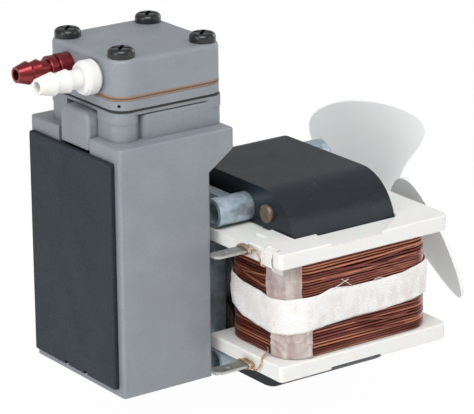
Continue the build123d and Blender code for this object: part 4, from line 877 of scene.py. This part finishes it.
class PUMP_OT_woven_tape(bpy.types.Operator):
    """Wraps the woven tape round the middle of the coil"""

    bl_idname = "pump.woven_tape"
    bl_label = "Wrap the woven tape"

    start = 0.17
    turns = 1.07
    flat_width = 10.6 * MM
    # Lift in mm where the end lies over the start, then shares of the way round the coil
    lap_lift = 0.40
    lap_ramp = 0.03
    near_corner = 0.59
    thread_radius = 0.09 * MM

    def place(self, outline, across, along):
        """A point of the tape, which bellies between its edges and whose end lies over its start."""
        share = self.start + along * self.turns
        spot, out = outline.at(share)
        low = between(TAPE_EDGES, share, 0) * MM
        high = between(TAPE_EDGES, share, 1) * MM
        z = outline.low + low + across * (high - low)
        z += 0.12 * MM * noise.noise(Vector((share * 60, across, 0.3))) * (1 if across in (0.0, 1.0) else 0.4)
        fold = noise.noise(Vector((share * 34 + across * 1.6, across * 1.1, 1.7)))
        crease = abs(noise.noise(Vector((share * 21 - across * 2.1, across * 2.4, 4.1))))
        belly = math.sin(math.pi * across) ** 0.6
        corner = math.exp(-((share - self.near_corner) / 0.045) ** 2)
        lift = 0.02 + 0.16 * corner + 0.26 * belly * (1 + fold) + 0.60 * max(0.0, 0.3 - crease) * belly
        past_ramp = along * self.turns - 1.0 + self.lap_ramp
        if along * self.turns < 1.0:
            lift += self.lap_lift * max(0.0, past_ramp) / self.lap_ramp
        else:
            lift += self.lap_lift
        lift = max(lift, 0.05)
        spot = spot + out * (0.04 + lift) * MM
        return Vector((spot.x, spot.y, z))

    def threads(self, outline):
        """Loose threads that stand off the tape's upper edge."""
        face = outline.centre.y - outline.half.y
        runs = (
            ((38.6, -0.5, 19.9), (40.6, -0.9, 20.9), (43.2, -1.1, 21.9), (45.0, -0.8, 22.4)),
            ((42.3, -0.9, 22.9), (43.4, -1.3, 22.2), (45.0, -1.2, 20.9), (46.4, -0.5, 19.9)),
            ((55.0, -0.4, 19.8), (56.0, -0.8, 20.3), (57.6, -0.7, 20.2), (58.6, -0.4, 19.6)),
        )
        return [[(x * MM, face + y * MM, outline.low + z * MM) for x, y, z in run] for run in runs]

    def execute(self, context):
        settings = context.scene.pump_coil
        outline = CoilOutline()
        width = self.flat_width
        length = self.turns * outline.length()
        bm = ribbon(16, 260, lambda across, along: self.place(outline, across, along), width, length)
        mesh = mesh_of("woven_tape", bm, 60.0)
        tape = add_piece("woven_tape", mesh, woven_cloth, replaces=("cloth_tape",))
        thicken(tape, settings.tape_thickness)
        mesh = wire_mesh("loose_threads", self.threads(outline), self.thread_radius, resolution=1)
        add_piece("loose_threads", mesh, woven_cloth)
        return {"FINISHED"}


class PUMP_OT_film_tapes(bpy.types.Operator):
    """Lays the creased film over the coil's near corner and over the flange's edge"""

    bl_idname = "pump.film_tapes"
    bl_label = "Lay the film tapes"

    # In mm: the woven tape's foot above the winding's, then where the strip lies on the flange
    tape_foot = 9.0
    strip_front = -50.6
    strip_width = 5.4

    def corner_film(self, outline, size, share_start, share_end, low, high, seed):
        """Creased film from share_start to share_end between two heights in mm."""

        def place(across, along):
            share = share_start + (share_end - share_start) * along
            share += 0.0012 * noise.noise(Vector((across * 5, seed, 0.0)))
            spot, out = outline.at(share)
            z = outline.low + (low + (high - low) * across) * MM
            tent = noise.noise(Vector((share * 90, across * 1.2, seed)))
            crease = abs(noise.noise(Vector((share * 40 + across * 1.5, across * 3.4, seed + 2.0))))
            from_tape = across if low > self.tape_foot else 1 - across
            bare = min(1.0, max(0.0, from_tape - 0.05) * 5)
            lift = 0.06 + bare * (0.30 * (0.5 + 0.5 * tent) + 0.45 * max(0.0, 0.22 - crease) / 0.22)
            spot = spot + out * lift * MM
            return Vector((spot.x, spot.y, z))

        return ribbon(26, 40, place, *size)

    def flange_strip(self, outline, size):
        """White end of the film, brought up over the flange's left edge."""
        edge_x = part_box("bobbin")[0].x
        route = (
            (edge_x + 3.6 * MM, outline.high - 3.0 * MM), (edge_x + 3.3 * MM, outline.high - 0.5 * MM),
            (edge_x - 0.45 * MM, outline.high + 0.2 * MM), (edge_x - 0.5 * MM, outline.high + 2.4 * MM),
            (edge_x - 0.1 * MM, outline.high + 4.6 * MM), (edge_x + 2.6 * MM, outline.high + 5.1 * MM),
        )

        def place(across, along):
            step = min(along * (len(route) - 1), len(route) - 1.001)
            first, second = route[int(step)], route[int(step) + 1]
            way = eased(step - int(step))
            x = first[0] + (second[0] - first[0]) * way
            z = first[1] + (second[1] - first[1]) * way
            sway = 0.5 * noise.noise(Vector((along * 4, across, 8.0)))
            y = (self.strip_front + self.strip_width * across + sway) * MM
            puff = abs(noise.noise(Vector((across * 3.2, along * 7.0, 5.0)))) * 0.5 * MM
            return Vector((x - puff * (1 - along), y, z + puff * along))

        return ribbon(18, 44, place, *size)

    def execute(self, context):
        settings = context.scene.pump_coil
        outline = CoilOutline()
        height = (outline.high - outline.low) / MM
        # Name, flat size, and for the corner's films their shares of the way round, heights and seed
        films = (
            ("upper_film", (12.0, 12.4), (0.537, 0.612, 18.0, height - 0.1, 0.7)),
            ("lower_film", (10.2, 13.5), (0.550, 0.632, 0.1, 10.3, 5.3)),
            ("flange_strip", (self.strip_width, 13.0), None),
        )
        for name, (width, length), stretch in films:
            size = (width * MM, length * MM)
            bm = self.corner_film(outline, size, *stretch) if stretch else self.flange_strip(outline, size)
            mesh = mesh_of(name, bm, 50.0)
            make = clear_film if stretch else white_film
            replaced = ("corner_tapes",) if name == "upper_film" else ()
            film = add_piece(name, mesh, make, replaces=replaced)
            thicken(film, settings.film_thickness)
        return {"FINISHED"}


class PUMP_OT_lead_ends(bpy.types.Operator):
    """Solders the ends of the winding wire to the terminals"""

    bl_idname = "pump.lead_ends"
    bl_label = "Solder the lead ends"

    wrap_count = 5
    steps_per_turn = 14
    wrap_radius = 0.2 * MM
    lead_radius = 0.26 * MM
    bead_overhang = 0.75 * MM

    def solder_bead(self, bm, low, high, seed):
        """An uneven bead of solder between two corners."""
        middle = (low + high) / 2
        half = (high - low) / 2
        made = bmesh.ops.create_icosphere(bm, subdivisions=4, radius=1.0)["verts"]
        for vert in made:
            way = vert.co.copy()
            lump = 1.0 + 0.22 * noise.noise(way * 1.9 + Vector((seed, 0, 0)))
            squared = Vector([math.copysign(abs(c) ** 0.7, c) for c in way])
            vert.co = middle + Vector([squared[i] * half[i] * min(lump, 1.08) for i in range(3)])

    def wraps(self, low, high, count, seed):
        """Turns of thin wire round the root of a terminal, none quite like the next."""
        middle = (low + high) / 2
        half = (high - low) / 2
        path = []
        for index in range(count * self.steps_per_turn + 1):
            turn = index / self.steps_per_turn
            angle = 2 * math.pi * turn
            bulge = 1.0 + 0.16 * noise.noise(Vector((turn * 2.3, seed, 0)))
            way = turn / count
            x = low.x + (0.12 + 0.7 * way) * (high.x - low.x) + 0.25 * MM * math.sin(angle * 0.5 + seed)
            y = middle.y + (half.y + 0.12 * MM) * bulge * math.cos(angle)
            z = middle.z + (half.z + 0.10 * MM) * bulge * math.sin(angle)
            path.append((x, y, z))
        return path

    def lead(self, outline, way, tab_low, tab_high):
        """A loose lead from the wraps, over the flange's rim, down to the coil."""
        root_x = tab_high.x
        y = tab_low.y
        z = (tab_low.z + tab_high.z) / 2
        face = outline.centre.x - outline.half.x
        edge = outline.high if way > 0 else outline.low
        return [
            (root_x - 1.4 * MM, y + 0.4 * MM, z + way * 0.8 * MM),
            (root_x - 0.4 * MM, y - 1.0 * MM, z + way * 0.9 * MM),
            (root_x - 0.9 * MM, y - 2.6 * MM, z + way * 0.1 * MM),
            (root_x - 0.6 * MM, y - 3.6 * MM, z - way * 1.5 * MM),
            (root_x + 0.1 * MM, y - 3.4 * MM, edge - way * 0.9 * MM),
            (face - 0.4 * MM, y - 2.2 * MM, edge - way * 1.6 * MM),
            (face + 0.1 * MM, y - 0.4 * MM, edge - way * 2.0 * MM),
        ]

    def execute(self, context):
        outline = CoilOutline()
        low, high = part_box("solder_joints")
        tab_low, tab_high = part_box("upper_terminal")
        size = tab_high.z - tab_low.z
        bm = bmesh.new()
        wires, leads = [], []
        for seed, (node, way) in enumerate((("lower_terminal", -1), ("upper_terminal", 1))):
            tab = (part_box(node)[0].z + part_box(node)[1].z) / 2
            room = self.bead_overhang + size / 2
            corner_low = Vector((low.x, low.y, tab - room))
            corner_high = Vector((high.x, high.y, tab + room))
            bead_low = corner_low + Vector((0.7 * MM, 0.5 * MM, 0.15 * MM))
            bead_high = corner_high - Vector((0, 0.6 * MM, 0.2 * MM))
            self.solder_bead(bm, bead_low, bead_high, seed * 4.0)
            wires.append(self.wraps(corner_low, corner_high, self.wrap_count, 1.3 + seed))
            leads.append(self.lead(outline, way, corner_low, corner_high))
        mesh = mesh_of("solder_beads", bm, 60.0)
        add_piece("solder_beads", mesh, solder, replaces=("solder_joints",))
        mesh = wire_mesh("wire_wraps", wires, self.wrap_radius, resolution=2)
        add_piece("wire_wraps", mesh, tinned_wire)
        mesh = wire_mesh("lead_ends", leads, self.lead_radius, resolution=2)
        add_piece("lead_ends", mesh, tinned_wire, replaces=("lead_wires",))
        return {"FINISHED"}


class PUMP_OT_stage(bpy.types.Operator):
    """Sets up the camera, the lights, the pale floor and the background"""

    bl_idname = "pump.stage"
    bl_label = "Stage"

    # Name, place and size in metres, and power in watts
    lamps = (
        ("key", (-0.35, -0.55, 0.95), (0.7, 0.7), 9.0),
        ("left_fill", (-0.95, -0.15, 0.35), (0.5, 0.9), 3.6),
        ("right_fill", (0.7, -0.9, 0.45), (0.6, 0.6), 1.6),
        ("fan_fill", (0.95, 0.1, 0.30), (0.5, 0.7), 2.0),
    )
    lamps_aim = (0.03, -0.01, 0.04)

    def camera(self, settings):
        azimuth = math.radians(settings.azimuth)
        elevation = math.radians(settings.elevation)
        back = Vector((
            math.sin(azimuth) * math.cos(elevation),
            -math.cos(azimuth) * math.cos(elevation),
            math.sin(elevation),
        ))
        data = bpy.data.cameras.new("camera")
        data.lens = settings.lens
        data.clip_start = 0.05
        data.clip_end = 20.0
        camera = put("camera", data)
        camera.rotation_mode = "QUATERNION"
        camera.location = Vector(settings.target) + back * settings.distance
        tilt = Quaternion((0, 0, 1), math.radians(settings.roll))
        camera.rotation_quaternion = (-back).to_track_quat("-Z", "Y") @ tilt
        bpy.context.scene.camera = camera

    def lamp(self, name, place, size, power):
        data = bpy.data.lights.new(name, "AREA")
        data.shape = "RECTANGLE"
        data.size, data.size_y = size
        data.energy = power
        lamp = put(name, data)
        lamp.location = place
        aim = Vector(self.lamps_aim) - Vector(place)
        lamp.rotation_mode = "QUATERNION"
        lamp.rotation_quaternion = aim.to_track_quat("-Z", "Y")

    def floor(self, settings):
        low = CAD_BOX[0]
        bm = bmesh.new()
        bmesh.ops.create_grid(bm, x_segments=8, y_segments=8, size=6.0)
        bmesh.ops.translate(bm, verts=bm.verts, vec=(0, 0, low.z - 0.2 * MM))
        finish = Finish("pale_floor", Specular_IOR_Level=0.1)
        cloud = finish.noise(300.0, detail=2.0)
        shade = tuple(settings.floor_colour)
        base = finish.mix(cloud * 0.3, shade, tuple(0.985 * c for c in shade))
        finish.dress(Base_Color=base, Roughness=0.7 + 0.1 * cloud)
        rays = finish.node("ShaderNodeLightPath", output="Is Camera Ray")
        glossy = finish.node("ShaderNodeLightPath", output="Is Glossy Ray")
        glow = finish.node("ShaderNodeEmission", {}, {"Color": (1.0, 1.0, 1.0), "Strength": 1.0})
        surface = Wire(finish.tree, finish.shader.outputs[0])
        share = 0.98 * rays + 0.4 * glossy
        blend = finish.node("ShaderNodeMixShader", {}, {0: share, 1: surface, 2: glow})
        join(finish.tree, blend, finish.tree.nodes["Material Output"].inputs["Surface"])
        mesh = bpy.data.meshes.new("floor")
        bm.to_mesh(mesh)
        bm.free()
        mesh.materials.append(finish.material)
        put("floor", mesh)

    def world(self):
        world = bpy.data.worlds.new("studio")
        bpy.context.scene.world = world
        world.use_nodes = True
        tree = world.node_tree
        background = tree.nodes["Background"]
        rays = Wire(tree, tree.nodes.new("ShaderNodeLightPath").outputs["Is Camera Ray"])
        background.inputs["Color"].default_value = (1.0, 1.0, 1.0, 1.0)
        join(tree, 0.42 + 0.58 * rays, background.inputs["Strength"])

    def execute(self, context):
        settings = context.scene.pump_stage
        self.camera(settings)
        for lamp in self.lamps:
            self.lamp(*lamp)
        self.floor(settings)
        self.world()
        context.scene.view_settings.view_transform = "Standard"
        return {"FINISHED"}


OPERATORS = (
    PUMP_OT_cad_finishes,
    PUMP_OT_winding,
    PUMP_OT_woven_tape,
    PUMP_OT_film_tapes,
    PUMP_OT_lead_ends,
    PUMP_OT_stage,
)


class PUMP_PT_looks(bpy.types.Panel):
    """Lists the pump's pieces and settings"""

    bl_idname = "PUMP_PT_looks"
    bl_label = "Diaphragm pump"
    bl_space_type = "VIEW_3D"
    bl_region_type = "UI"
    bl_category = "Pump"

    def draw(self, context):
        for operator in OPERATORS:
            self.layout.operator(operator.bl_idname, text=operator.bl_label)
        for group in (context.scene.pump_colours, context.scene.pump_coil, context.scene.pump_stage):
            box = self.layout.box()
            for name in group.bl_rna.properties.keys():
                if name not in ("rna_type", "name"):
                    box.prop(group, name)


SETTINGS = (
    ("pump_colours", PumpColours),
    ("pump_coil", CoilSettings),
    ("pump_stage", StageSettings),
)


def register():
    for name, group in SETTINGS:
        bpy.utils.register_class(group)
        setattr(bpy.types.Scene, name, PointerProperty(type=group))
    for operator in OPERATORS:
        bpy.utils.register_class(operator)
    bpy.utils.register_class(PUMP_PT_looks)


def unregister():
    bpy.utils.unregister_class(PUMP_PT_looks)
    for operator in reversed(OPERATORS):
        bpy.utils.unregister_class(operator)
    for name, group in reversed(SETTINGS):
        delattr(bpy.types.Scene, name)
        bpy.utils.unregister_class(group)


def main():
    """Makes the whole scene."""
    register()
    for operator in OPERATORS:
        area, name = operator.bl_idname.split(".")
        getattr(getattr(bpy.ops, area), name)()


if __name__ == "__main__":
    main()
